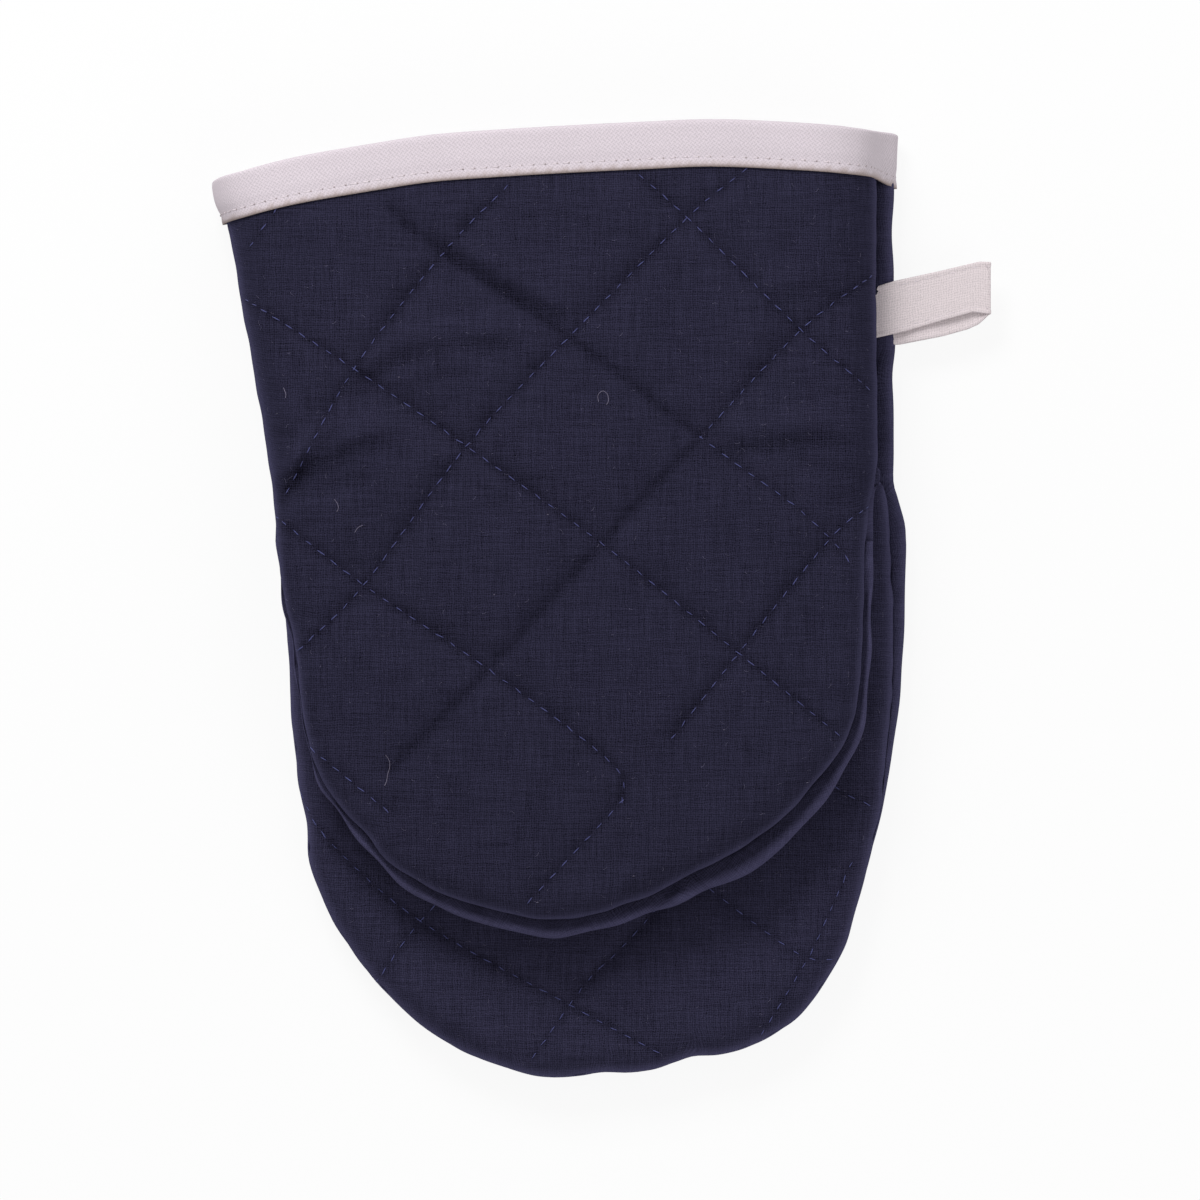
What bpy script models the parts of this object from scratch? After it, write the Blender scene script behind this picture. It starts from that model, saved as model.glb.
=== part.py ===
"""A quilted double oven mitt, lying on its back with the cuff towards +Y.

One cuff opens into two padded pockets that close on each other like jaws: the finger pocket,
whose outer panel lies on the table, and the shorter thumb pocket above it. Every panel is three
pieces of fabric, an outer cloth, a wadding and a lining, and the panels meet along their seams.
The thumb pocket turns about the crease across the front, where it leaves the cuff.
Metres, +Z up, origin below the centre of the outline.
"""

import math

import bmesh
import bpy
import numpy as np

TITLE = "double_oven_mitt"

# Lengths along Y, from the hinge crease.
CUFF_LENGTH = 0.0946
FINGER_LENGTH = 0.1504
THUMB_LENGTH = 0.1141

# Widths along X. The cuff is measured from the tape's left end to the front's right seam.
CUFF_WIDTH = 0.1706
FINGER_WIDTH = 0.1588
THUMB_WIDTH = 0.1530
LOOP_REACH = 0.0288

# Fabric, from the outside in, and the ease between two layers.
CLOTH = 0.0006
WADDING = 0.0021
LINING = 0.0005
EASE = 0.0005
SEAM_GAP = 0.0003
PANEL = CLOTH + EASE + WADDING + EASE + LINING

# Room inside: in each pocket, between the jaws, and under the front at the cuff's mouth.
POCKET_AIR = 0.0048
JAW_GAP = 0.0048
MOUTH_HEIGHT = 0.0245

# Quilting: two families of stitched channels, and the puffs that stand between them.
PUFF = 0.0018
HIDDEN_PUFF = 0.0008
PUFF_FADE = 0.0110
QUILT_PITCH = (0.0408, 0.0404)
QUILT_ANGLE = (math.radians(54.3), math.radians(-41.3))
QUILT_START = (0.0086, -0.0058)
CROWN = 0.0015
CROWN_REACH = 0.045

# Drawn-in sides: how far a panel rolls over, in plan and in height, before it meets its seam.
SIDE_ROLL = 0.0090
JAW_ROLL = 0.0074
TRAY_ROLL = 0.0062
TRAY_DEPTH = 0.0060
CUFF_ROLL = 0.0240
SKIRT = 0.0010
SEAM_INSET = 0.0034

# Tape round the cuff's mouth.
TAPE = 0.0007
TAPE_DEPTH = 0.0113
TAPE_REACH = TAPE + SEAM_GAP

# Hanging loop: a folded tape, sewn into the right seam of the cuff.
LOOP_TAPE = 0.0011
LOOP_WIDTH = 0.0150
LOOP_FROM_HINGE = 0.0452
LOOP_SPREAD = 0.0082
LOOP_SLANT = math.radians(12.4)
LOOP_GAP = 0.0003

# Hinge crease: the front's two panels stop this far apart.
HINGE_GAP = 0.0006

# Everything else hangs on these. The origin is under the middle of the whole outline.
HINGE_Y = (FINGER_LENGTH - CUFF_LENGTH) / 2
SEAM_X = (CUFF_WIDTH + LOOP_REACH) / 2 - LOOP_REACH
CUFF_LEFT = SEAM_X - CUFF_WIDTH

# Heights of the panels' outer faces at their channels.
BACK_Z = TAPE_REACH
BACK_RIM_Z = BACK_Z + TRAY_DEPTH
FINGER_RIM_Z = BACK_RIM_Z + SEAM_GAP
FINGER_PALM_Z = BACK_Z + PANEL + POCKET_AIR + PANEL
THUMB_PALM_Z = FINGER_PALM_Z + PUFF + JAW_GAP + HIDDEN_PUFF
THUMB_RIM_Z = THUMB_PALM_Z + TRAY_DEPTH
FRONT_RIM_Z = THUMB_RIM_Z + SEAM_GAP
FRONT_Z = THUMB_PALM_Z + PANEL + POCKET_AIR + PANEL
MOUTH_Z = BACK_Z + PANEL + MOUTH_HEIGHT
HINGE_Z = FRONT_Z + CROWN + PUFF

# Outlines. A jaw's points run from the hinge down its left side, round the tip and up the right:
# x as a share of its width from its middle, y as a share of its length below the hinge.
FINGER_MIDDLE_SHARE = 0.5791
FINGER_OUTLINE_SHARES = (
    (-0.512, 0.0),
    (-0.503, 0.14),
    (-0.494, 0.285),
    (-0.487, 0.44),
    (-0.470, 0.57),
    (-0.447, 0.67),
    (-0.400, 0.775),
    (-0.336, 0.86),
    (-0.245, 0.938),
    (-0.150, 0.982),
    (-0.060, 0.999),
    (0.040, 0.993),
    (0.140, 0.974),
    (0.242, 0.945),
    (0.320, 0.897),
    (0.385, 0.812),
    (0.427, 0.685),
    (0.461, 0.545),
    (0.483, 0.40),
    (0.497, 0.22),
    (0.499, 0.11),
    (0.483, 0.0),
)
THUMB_MIDDLE_SHARE = 0.5451
THUMB_OUTLINE_SHARES = (
    (-0.501, 0.0),
    (-0.493, 0.122),
    (-0.484, 0.245),
    (-0.473, 0.375),
    (-0.456, 0.50),
    (-0.430, 0.64),
    (-0.388, 0.75),
    (-0.320, 0.85),
    (-0.230, 0.93),
    (-0.130, 0.982),
    (-0.030, 0.998),
    (0.070, 0.973),
    (0.160, 0.936),
    (0.250, 0.882),
    (0.330, 0.812),
    (0.408, 0.709),
    (0.460, 0.60),
    (0.487, 0.47),
    (0.495, 0.30),
    (0.497, 0.15),
    (0.500, 0.0),
)

# The cuff's sides, from the hinge up: x from the right seam as a share of the cuff's width, y as
# a share of its length above the hinge.
FRONT_LEFT_SHARES = ((-0.929, 0.245), (-0.955, 0.515), (-0.970, 0.67))
FRONT_RIGHT_SHARES = ((0.0, 0.10), (0.0, 0.35), (0.0, 0.60), (0.0, 0.80))
BACK_LEFT_SHARES = ((-0.924, 0.245), (-0.950, 0.515), (-0.964, 0.67))
BACK_RIGHT_SHARES = ((0.020, 0.15), (0.018, 0.40), (0.018, 0.62), (0.020, 0.80))
FRONT_MOUTH_SHARES = (-0.994, 0.0015)
BACK_MOUTH_SHARES = (-0.990, 0.0215)

# The mouth's edge, left to right: x across the cuff's width, y below the top of the tape as a
# share of the cuff's length.
MOUTH_SHARES = (
    (0.0, 0.158),
    (0.13, 0.100),
    (0.325, 0.042),
    (0.52, 0.019),
    (0.68, 0.002),
    (0.77, 0.0),
    (0.88, 0.0106),
    (1.03, 0.032),
)

# Where along its outline a jaw's left side ends and its right side begins.
CORNER_SHARES = (0.34, 0.68)
BACK_CORNER_SHARES = (0.37, 0.655)

# How much of the seam's inset an upper panel takes along its outline.
THUMB_INSET_SHARES = ((0.0, 0.05), (0.26, 0.1), (0.42, 0.95), (0.62, 1.0), (0.8, 0.65), (1.0, 0.6))
FINGER_INSET_SHARES = ((0.0, 0.3), (0.26, 0.3), (0.45, 0.25), (0.65, 0.3), (0.8, 0.7), (1.0, 0.8))

# How many rows of quads turn up the finger palm's end, and how many rows of vertices carry the
# tape at the mouth.
LIP_STEPS = 3
TAPE_ROWS = 3

# How much of a path a normal looks at to either side, and how far the tape's fold cuts its corners.
NORMAL_SHARE = 0.004
FOLD_CORNER_SHARE = 0.4

# One leg of the hanging loop, from the seam to the fold: share of its reach, share of its spread.
LOOP_LEG_SHARES = ((0.0, 0.0), (0.16, 0.02), (0.40, 0.56), (0.66, 0.98), (0.86, 0.82), (0.97, 0.30))

# Rings of vertices inside the seam, as shares of the roll in plan.
RING_SHARES = (1.0, 0.52, 0.18, 0.0)

NAVY = (0.0207, 0.0194, 0.0376, 1.0)
TAPE_PINK = (0.708, 0.631, 0.680, 1.0)
LOOP_PINK = (0.665, 0.591, 0.610, 1.0)
WADDING_WHITE = (0.80, 0.79, 0.76, 1.0)
LINING_GREY = (0.46, 0.45, 0.47, 1.0)


def clear_scene():
    for obj in list(bpy.data.objects):
        bpy.data.objects.remove(obj)


def smoothstep(value):
    held = np.clip(value, 0, 1)
    return held * held * (3 - 2 * held)


def spline(points, steps=24):
    """A smooth path through the points, and through its own ends."""
    known = np.array(points, float)
    ends = 2 * known[[0, -1]] - known[[1, -2]]
    known = np.vstack([ends[:1], known, ends[1:]])
    share = np.linspace(0, 1, steps, endpoint=False)[:, None]
    path = [
        0.5
        * (
            2 * b
            + (c - a) * share
            + (2 * a - 5 * b + 4 * c - d) * share**2
            + (3 * b - a - 3 * c + d) * share**3
        )
        for a, b, c, d in zip(known, known[1:], known[2:], known[3:])
    ]
    return np.vstack([*path, known[-2:-1]])


def along(path, shares):
    """Points at these shares of the path's length."""
    run = np.concatenate([[0], np.cumsum(np.linalg.norm(np.diff(path, axis=0), axis=1))])
    at = np.asarray(shares, float) * run[-1]
    return np.stack([np.interp(at, run, path[:, k]) for k in range(2)], axis=1)


def inward(path, shares):
    """Unit normals at these shares, to the left of the path's direction."""
    ahead = along(path, np.clip(np.asarray(shares) + NORMAL_SHARE, 0, 1))
    behind = along(path, np.clip(np.asarray(shares) - NORMAL_SHARE, 0, 1))
    run = ahead - behind
    run /= np.linalg.norm(run, axis=1)[:, None]
    return np.stack([-run[:, 1], run[:, 0]], axis=1)


def distance(points, path):
    """Each point's distance in plan from the path."""
    a, b = path[:-1], path[1:]
    run = b - a
    held = ((points[:, None] - a) * run).sum(2) / np.maximum((run * run).sum(1), 1e-18)
    nearest = a + np.clip(held, 0, 1)[..., None] * run
    return np.linalg.norm(points[:, None] - nearest, axis=2).min(1)


def jaw_outline(shares, middle_share, width, length):
    middle = CUFF_LEFT + middle_share * CUFF_WIDTH
    return [(middle + x * width, HINGE_Y - y * length) for x, y in shares]


def cuff_points(shares):
    return [(SEAM_X + x * CUFF_WIDTH, HINGE_Y + y * CUFF_LENGTH) for x, y in shares]


def mouth_y(x):
    """The fabric's edge at the mouth, inside the tape's fold."""
    at = [CUFF_LEFT + share * CUFF_WIDTH for share, _ in MOUTH_SHARES]
    drop = [share * CUFF_LENGTH for _, share in MOUTH_SHARES]
    path = spline(list(zip(at, drop)))
    return HINGE_Y + CUFF_LENGTH - TAPE_REACH - np.interp(x, path[:, 0], path[:, 1])


def mouth_corner(share):
    x = SEAM_X + share * CUFF_WIDTH
    return (x, float(mouth_y(x)))


def drawn_in(path, inset_shares):
    """The path moved inwards by its share of the seam's inset."""
    shares = np.linspace(0, 1, len(path))
    path = along(path, shares)
    known = np.array(inset_shares)
    inset = SEAM_INSET * np.interp(shares, known[:, 0], known[:, 1])
    return path + inward(path, shares) * inset[:, None]


def cut_at(path, y):
    """The path with its two ends moved to this y."""
    moved = path.copy()
    inside = moved[moved[:, 1] < y]
    first, last = inside[0].copy(), inside[-1].copy()
    first[1] = last[1] = y
    return np.vstack([[first], inside, [last]])


def quilting(x, y):
    """Height of the puffs, 0 on the stitched channels and 1 in the middle of a diamond."""
    height = np.ones_like(x)
    for pitch, angle, start in zip(QUILT_PITCH, QUILT_ANGLE, QUILT_START):
        across = x * math.cos(angle) + y * math.sin(angle) - start
        height = height * np.abs(np.sin(math.pi * across / pitch))
    return np.sqrt(height)


def rolled(inside, reach):
    """Share of a panel's height that it has at this distance inside its seam."""
    left = 1 - np.clip(inside / reach, 0, 1)
    return np.sqrt(np.maximum(1 - left * left, 0))


class Panel:
    """A panel's outer face as a sheet of quads: a grid, and rings round it out to the seam.

    The rings run down the left side, round the tip and up the right, or on the cuff's front,
    which has no tip, down the left and up the right.
    """

    def __init__(self, seam, roll, top, columns, rows, corners=None, first=(), bottom=None):
        self.seam, self.roll, self.closed = seam, roll, corners is not None
        left = self.left_shares(first, rows)
        across = np.linspace(0, 1, columns + 1)
        if self.closed:
            tip = corners[0] + across * (corners[1] - corners[0])
            right = 1 - left * (1 - corners[1])
            chain = [left * corners[0], tip[1:-1], right[::-1]]
        else:
            chain = [left, 1 - left[::-1]]
        self.chain = np.concatenate(chain)
        self.columns, self.rows, self.top, self.bottom = columns, rows, top, bottom
        self.rings = [self.ring(share * roll) for share in RING_SHARES]
        self.grid = self.inner_grid(across, left)

    @staticmethod
    def left_shares(first, rows):
        rest = rows + 1 - len(first)
        start = first[-1] if len(first) else 0
        if not len(first):
            return np.linspace(0, 1, rows + 1)
        return np.concatenate([first, np.linspace(start, 1, rest + 1)[1:]])

    def ring(self, inset):
        points = self.by_side(along, self.chain)
        normals = self.by_side(inward, self.chain)
        ends = [0, len(points) - 1]
        if not self.closed:
            ends += [self.rows, self.rows + 1]
        moved = points + normals * inset
        for end in ends:
            side = 1 if normals[end, 0] > 0 else -1
            moved[end, 0] = points[end, 0] + side * inset / abs(normals[end, 0])
            edge = self.top if end in (0, len(points) - 1) else self.bottom
            moved[end, 1] = edge(moved[end, 0])
        return moved

    def by_side(self, read, shares):
        """Reads the seam at these shares. On the cuff's front it is two seams, left and right."""
        if self.closed:
            return read(self.seam, shares)
        half = self.rows + 1
        return np.vstack([read(self.seam[0], shares[:half]), read(self.seam[1], shares[half:])])

    def inner_grid(self, across, down):
        """Rows of points between the innermost ring's sides, by blending its four edges."""
        ring = self.rings[0]
        left = ring[: self.rows + 1]
        right = ring[::-1][: self.rows + 1]
        u, v = across[None, :, None], down[:, None, None]
        top = left[0] + (right[0] - left[0]) * across[:, None]
        top[:, 1] = self.top(top[:, 0])
        if self.closed:
            low = ring[self.rows : self.rows + self.columns + 1]
        else:
            low = left[-1] + (right[-1] - left[-1]) * across[:, None]
            low[:, 1] = self.bottom(low[:, 0])
        sides = (1 - u) * left[:, None] + u * right[:, None]
        ends = (1 - v) * top[None] + v * low[None]
        corners = (1 - v) * ((1 - u) * left[0] + u * right[0]) + v * (
            (1 - u) * left[-1] + u * right[-1]
        )
        return sides + ends - corners

    def sheet(self, face):
        """A bmesh of the face. It holds the vertices of the mouth's rows, seam to seam."""
        mesh = bmesh.new()
        bmesh.ops.create_grid(mesh, x_segments=self.columns, y_segments=self.rows, size=1)
        mesh.verts.ensure_lookup_table()
        order = sorted(mesh.verts, key=lambda v: (-round(v.co.y, 4), round(v.co.x, 4)))
        wide = self.columns + 1
        rows = [order[k * wide : (k + 1) * wide] for k in range(self.rows + 1)]
        inside = {}
        for row, points in zip(rows, self.grid):
            for vert, point in zip(row, points):
                vert.co = (*point, 0)
                inside[vert] = None
        sides = [row[0] for row in rows], [row[-1] for row in rows]
        if self.closed:
            chains = [[*sides[0], *rows[-1][1:-1], *sides[1][::-1]]]
        else:
            chains = [sides[0], sides[1][::-1]]
        lines = [[*chain] for chain in chains]
        mouth = [row[:] for row in rows[:TAPE_ROWS]]
        for depth, ring in enumerate([*self.rings[1:], self.rings[-1]]):
            drawn, start = [], 0
            for chain in lines:
                edges = [self.edge(a, b) for a, b in zip(chain, chain[1:])]
                made = bmesh.ops.extrude_edge_only(mesh, edges=edges)["geom"]
                at = {v.co.to_tuple(6): v for v in made if isinstance(v, bmesh.types.BMVert)}
                new = [at[v.co.to_tuple(6)] for v in chain]
                for vert, point in zip(new, ring[start : start + len(new)]):
                    vert.co = (*point, 0)
                    inside[vert] = RING_SHARES[min(depth + 1, len(RING_SHARES) - 1)] * self.roll
                drawn.append(new)
                start += len(new)
            lines = drawn
            ends = lines[0] if self.closed else [*lines[0], *lines[1]]
            mouth = [[ends[k], *row, ends[-1 - k]] for k, row in enumerate(mouth)]
        self.raise_face(inside, lines, face)
        bmesh.ops.recalc_face_normals(mesh, faces=mesh.faces)
        mesh.normal_update()
        if (mesh.faces[:][0].normal.z > 0) != (face.up > 0):
            bmesh.ops.reverse_faces(mesh, faces=mesh.faces)
            mesh.normal_update()
        return mesh, mouth

    @staticmethod
    def edge(a, b):
        return next(e for e in a.link_edges if e.other_vert(a) is b)

    def raise_face(self, inside, lines, face):
        verts = list(inside)
        plan = np.array([v.co.to_tuple()[:2] for v in verts])
        seams = [self.seam] if self.closed else self.seam
        depth = np.min([distance(plan, seam) for seam in seams], axis=0)
        known = np.array([np.nan if inside[v] is None else inside[v] for v in verts])
        depth = np.where(np.isnan(known), np.maximum(depth, self.roll), known)
        placed = face.place(plan, depth)
        for vert, point in zip(verts, placed):
            vert.co = point
        for line in lines:
            for vert in line:
                vert.co.z = face.rim


class Face:
    """The shape of a panel's outer face: a height above its seam for each point in plan."""

    def __init__(self, up, level, rim, reach, fade_from, puffs=PUFF, crown=0.0, lip=None):
        self.up, self.level, self.rim, self.reach = up, level, rim, reach
        self.fade_from, self.puffs, self.crown, self.lip = fade_from, puffs, crown, lip

    def place(self, plan, depth):
        x, y = plan[:, 0], plan[:, 1]
        ends = np.min([side * (edge(x) - y) for edge, side in self.fade_from], axis=0)
        shown = smoothstep(np.minimum(depth - SIDE_ROLL / 2, ends) / PUFF_FADE)
        level = self.level(y) if callable(self.level) else np.full_like(y, self.level)
        reach = self.reach(y) if callable(self.reach) else self.reach
        rim = self.rim + self.up * SKIRT
        dome = 1 - (1 - np.clip(depth / CROWN_REACH, 0, 1)) ** 2
        lift = np.zeros_like(y)
        if self.lip:
            start, radius = self.lip
            turn = np.maximum(y - start, 0) / radius
            y = np.where(turn > 0, start + radius * np.sin(turn), y)
            lift = radius * (1 - np.cos(turn))
        height = level + self.up * self.crown * dome + lift - rim
        z = rim + height * rolled(depth, reach) + self.up * self.puffs * quilting(x, y) * shown
        return np.stack([x, y, z], axis=1)


def linked(name, mesh, material, collection):
    obj = bpy.data.objects.new(name, mesh)
    mesh.materials.append(material)
    collection.objects.link(obj)
    return obj


def layer(name, sheet, inset, thickness, material, collection):
    """One fabric layer: the sheet moved in from the outer face, and given its thickness."""
    for vert, place in [(v, v.co - v.normal * inset) for v in sheet.verts]:
        vert.co = place
    mesh = bpy.data.meshes.new(name)
    sheet.to_mesh(mesh)
    sheet.free()
    mesh.shade_smooth()
    obj = linked(name, mesh, material, collection)
    solid = obj.modifiers.new("thickness", "SOLIDIFY")
    solid.thickness = thickness
    solid.offset = -1
    solid.use_even_offset = False
    return obj


def press_flat(sheet):
    """Presses the puffs that the mitt lies on flat against the surface under it."""
    for vert in sheet.verts:
        vert.co.z = max(vert.co.z, 0)
    sheet.normal_update()


def tape_sheet(columns, up, rim):
    """The tape's outer face, wrapped over the panel's edge from its outside to its inside.

    At the seams its inner leg is held back from the rim, step by step, as the fabric is, and
    nothing of it reaches below the surface that the mitt lies on.
    """
    inner = PANEL + TAPE_REACH
    corner = TAPE_REACH * FOLD_CORNER_SHARE
    points = []
    for edge, middle, deep in zip(*columns):
        out = (edge.co - middle.co).normalized()
        points.append(
            [
                deep.co + deep.normal * TAPE_REACH,
                middle.co + middle.normal * TAPE_REACH,
                edge.co + edge.normal * TAPE_REACH + out * corner,
                edge.co + edge.normal * corner + out * TAPE_REACH,
                edge.co - edge.normal * (PANEL + corner) + out * TAPE_REACH,
                edge.co - edge.normal * inner + out * corner,
                middle.co - middle.normal * inner,
                deep.co - deep.normal * inner,
            ]
        )
    sheet = bmesh.new()
    bmesh.ops.create_grid(
        sheet, x_segments=len(points) - 1, y_segments=len(points[0]) - 1, size=1
    )
    order = sorted(sheet.verts, key=lambda v: (round(v.co.x, 4), -round(v.co.y, 4)))
    for number, station in enumerate(points):
        steps = min(number, len(points) - 1 - number)
        if steps >= len(RING_SHARES) - 1:
            continue
        held = rim * up + (1 + steps / 2) * TAPE / 2
        for point in station:
            point.z = max(point.z * up, held) * up
    flat = [point for station in points for point in station]
    for vert, point in zip(order, flat):
        vert.co = (point.x, point.y, max(point.z, 0))
    bmesh.ops.recalc_face_normals(sheet, faces=sheet.faces)
    sheet.normal_update()
    middle = order[len(points) // 2 * len(points[0]) + 1]
    if middle.normal.z * up < 0:
        bmesh.ops.reverse_faces(sheet, faces=sheet.faces)
        sheet.normal_update()
    return sheet


def loop_sheet():
    """The folded tape's middle line, from its upper leg round the fold to its lower leg."""
    left = SEAM_X + SEAM_GAP
    right = SEAM_X + LOOP_REACH - LOOP_TAPE / 2
    low = FINGER_RIM_Z + LOOP_TAPE / 2
    high = low + LOOP_TAPE + LOOP_GAP
    middle = (low + high) / 2
    rest = (high - low) / 2
    leg = [
        (left + (right - left) * out, rest + (LOOP_SPREAD / 2 - rest) * wide)
        for out, wide in LOOP_LEG_SHARES
    ]
    upper = [(x, middle + apart) for x, apart in leg]
    lower = [(x, middle - apart) for x, apart in leg[::-1]]
    path = spline([*upper, (right, middle), *lower], steps=2)
    sheet = bmesh.new()
    bmesh.ops.create_grid(sheet, x_segments=len(path) - 1, y_segments=2, size=1)
    order = sorted(sheet.verts, key=lambda v: (round(v.co.x, 4), round(v.co.y, 4)))
    middle_y = HINGE_Y + LOOP_FROM_HINGE
    for number, vert in enumerate(order):
        x, z = path[number // 3]
        side = number % 3 - 1
        y = middle_y + side * LOOP_WIDTH / 2 + (x - left) * math.tan(LOOP_SLANT)
        vert.co = (x, y, z)
    bmesh.ops.recalc_face_normals(sheet, faces=sheet.faces)
    sheet.normal_update()
    return sheet


def fabric(name, colour, roughness):
    material = bpy.data.materials.new(name)
    material.use_nodes = True
    shader = material.node_tree.nodes["Principled BSDF"]
    shader.inputs["Base Color"].default_value = colour
    shader.inputs["Roughness"].default_value = roughness
    shader.inputs["Metallic"].default_value = 0
    material.diffuse_color = colour
    return material


def first_rows(length):
    """Shares of a side's length that put rows at the mouth's edge and under the tape."""
    return (0.0, TAPE_DEPTH / 2 / length, TAPE_DEPTH / length)


def path_length(path):
    return float(np.linalg.norm(np.diff(path, axis=0), axis=1).sum())


def panel_layers(name, make, face, collection, fabrics, pressed=False, taped=False):
    """The three fabric layers of a panel, and where it ends at the mouth, the tape over its edge."""
    plain = Face(**{**face, "puffs": 0.0})
    sheet, tape_rows = make(fine=True).sheet(Face(**face))
    if pressed:
        press_flat(sheet)
    wadding, _ = make(fine=False).sheet(plain)
    lining, _ = make(fine=False).sheet(plain)
    inset = CLOTH + EASE
    tape = tape_sheet(tape_rows, face["up"], face["rim"]) if taped else None
    layers = [
        layer(f"{name}_cloth", sheet, 0.0, CLOTH, fabrics["navy"], collection),
        layer(f"{name}_wadding", wadding, inset, WADDING, fabrics["wadding"], collection),
        layer(
            f"{name}_lining",
            lining,
            inset + WADDING + EASE,
            LINING,
            fabrics["lining"],
            collection,
        ),
    ]
    if tape:
        mesh = bpy.data.meshes.new(f"{name}_tape")
        tape.to_mesh(mesh)
        tape.free()
        mesh.shade_smooth()
        strip = linked(f"{name}_tape", mesh, fabrics["tape"], collection)
        solid = strip.modifiers.new("thickness", "SOLIDIFY")
        solid.thickness = TAPE
        solid.offset = -1
        layers.append(strip)
    return layers


def hinge_edge(side):
    """The y of a panel's edge at the hinge, on the cuff's side (1) or the jaw's side (-1)."""
    return level_edge(HINGE_Y + side * HINGE_GAP / 2)


def level_edge(y):
    return lambda x: np.full_like(np.asarray(x, float), y)


def tape_edge(x):
    """The y where the tape ends on the fabric, and the quilting's puffs may start."""
    return mouth_y(x) - TAPE_DEPTH - TAPE_REACH


def build_back(collection, fabrics):
    """The long outer panel under the hand, from the mouth of the cuff to the finger tip."""
    outline = jaw_outline(
        FINGER_OUTLINE_SHARES, FINGER_MIDDLE_SHARE, FINGER_WIDTH, FINGER_LENGTH
    )
    left = [mouth_corner(BACK_MOUTH_SHARES[0]), *cuff_points(BACK_LEFT_SHARES)[::-1]]
    right = [*cuff_points(BACK_RIGHT_SHARES), mouth_corner(BACK_MOUTH_SHARES[1])]
    seam = spline(left + outline + right)
    length = path_length(seam) * BACK_CORNER_SHARES[0]

    def make(fine):
        count = (14, 20) if fine else (6, 20)
        return Panel(
            seam, TRAY_ROLL, mouth_y, *count, corners=BACK_CORNER_SHARES, first=first_rows(length)
        )

    face = dict(
        up=-1, level=BACK_Z, rim=BACK_RIM_Z, reach=TRAY_ROLL, fade_from=((tape_edge, 1),)
    )
    return panel_layers("back", make, face, collection, fabrics, pressed=True, taped=True)


def build_finger_palm(collection, fabrics):
    """The finger pocket's upper panel. At the crotch it turns up to carry the thumb's palm."""
    outline = spline(
        jaw_outline(FINGER_OUTLINE_SHARES, FINGER_MIDDLE_SHARE, FINGER_WIDTH, FINGER_LENGTH)
    )
    radius = THUMB_PALM_Z - SEAM_GAP - FINGER_PALM_Z
    face_y = HINGE_Y - HINGE_GAP / 2 - PANEL
    start = face_y - radius
    unrolled = start + radius * math.pi / 2
    seam = drawn_in(outline, FINGER_INSET_SHARES)
    seam[[0, -1], 1] = max(unrolled, HINGE_Y)
    seam = cut_at(seam, unrolled)
    length = path_length(seam) * CORNER_SHARES[0]
    turns = tuple(radius * math.pi / 2 * k / LIP_STEPS / length for k in range(LIP_STEPS + 1))
    top = level_edge(unrolled)

    def make(fine):
        count = (15, 14) if fine else (6, 14)
        return Panel(seam, JAW_ROLL, top, *count, corners=CORNER_SHARES, first=turns)

    face = dict(
        up=1,
        level=FINGER_PALM_Z,
        rim=FINGER_RIM_Z,
        reach=JAW_ROLL,
        fade_from=((level_edge(start), 1),),
        lip=(start, radius),
    )
    return panel_layers("finger_palm", make, face, collection, fabrics)


def build_thumb_palm(collection, fabrics):
    """The thumb pocket's lower panel, which faces the finger pocket across the jaws' gap."""
    outline = jaw_outline(THUMB_OUTLINE_SHARES, THUMB_MIDDLE_SHARE, THUMB_WIDTH, THUMB_LENGTH)
    top = hinge_edge(-1)
    seam = cut_at(spline(outline), HINGE_Y - HINGE_GAP / 2)
    lip = (PANEL + HINGE_GAP) / (path_length(seam) * CORNER_SHARES[0])

    def make(fine):
        count = (10, 8) if fine else (6, 8)
        return Panel(seam, TRAY_ROLL, top, *count, corners=CORNER_SHARES, first=(0.0, lip))

    face = dict(
        up=-1,
        level=THUMB_PALM_Z,
        rim=THUMB_RIM_Z,
        reach=TRAY_ROLL,
        fade_from=((level_edge(HINGE_Y - HINGE_GAP - PANEL), 1),),
        puffs=HIDDEN_PUFF,
    )
    return panel_layers("thumb_palm", make, face, collection, fabrics)


def build_thumb_front(collection, fabrics):
    """The thumb pocket's upper panel, beyond the hinge crease."""
    outline = jaw_outline(THUMB_OUTLINE_SHARES, THUMB_MIDDLE_SHARE, THUMB_WIDTH, THUMB_LENGTH)
    top = hinge_edge(-1)
    seam = cut_at(drawn_in(spline(outline), THUMB_INSET_SHARES), HINGE_Y - HINGE_GAP / 2)

    def make(fine):
        count = (18, 13) if fine else (6, 13)
        return Panel(seam, JAW_ROLL, top, *count, corners=CORNER_SHARES)

    face = dict(
        up=1,
        level=FRONT_Z,
        rim=FRONT_RIM_Z,
        reach=JAW_ROLL,
        fade_from=((top, 1),),
        crown=CROWN,
    )
    return panel_layers("thumb_front", make, face, collection, fabrics)


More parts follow.
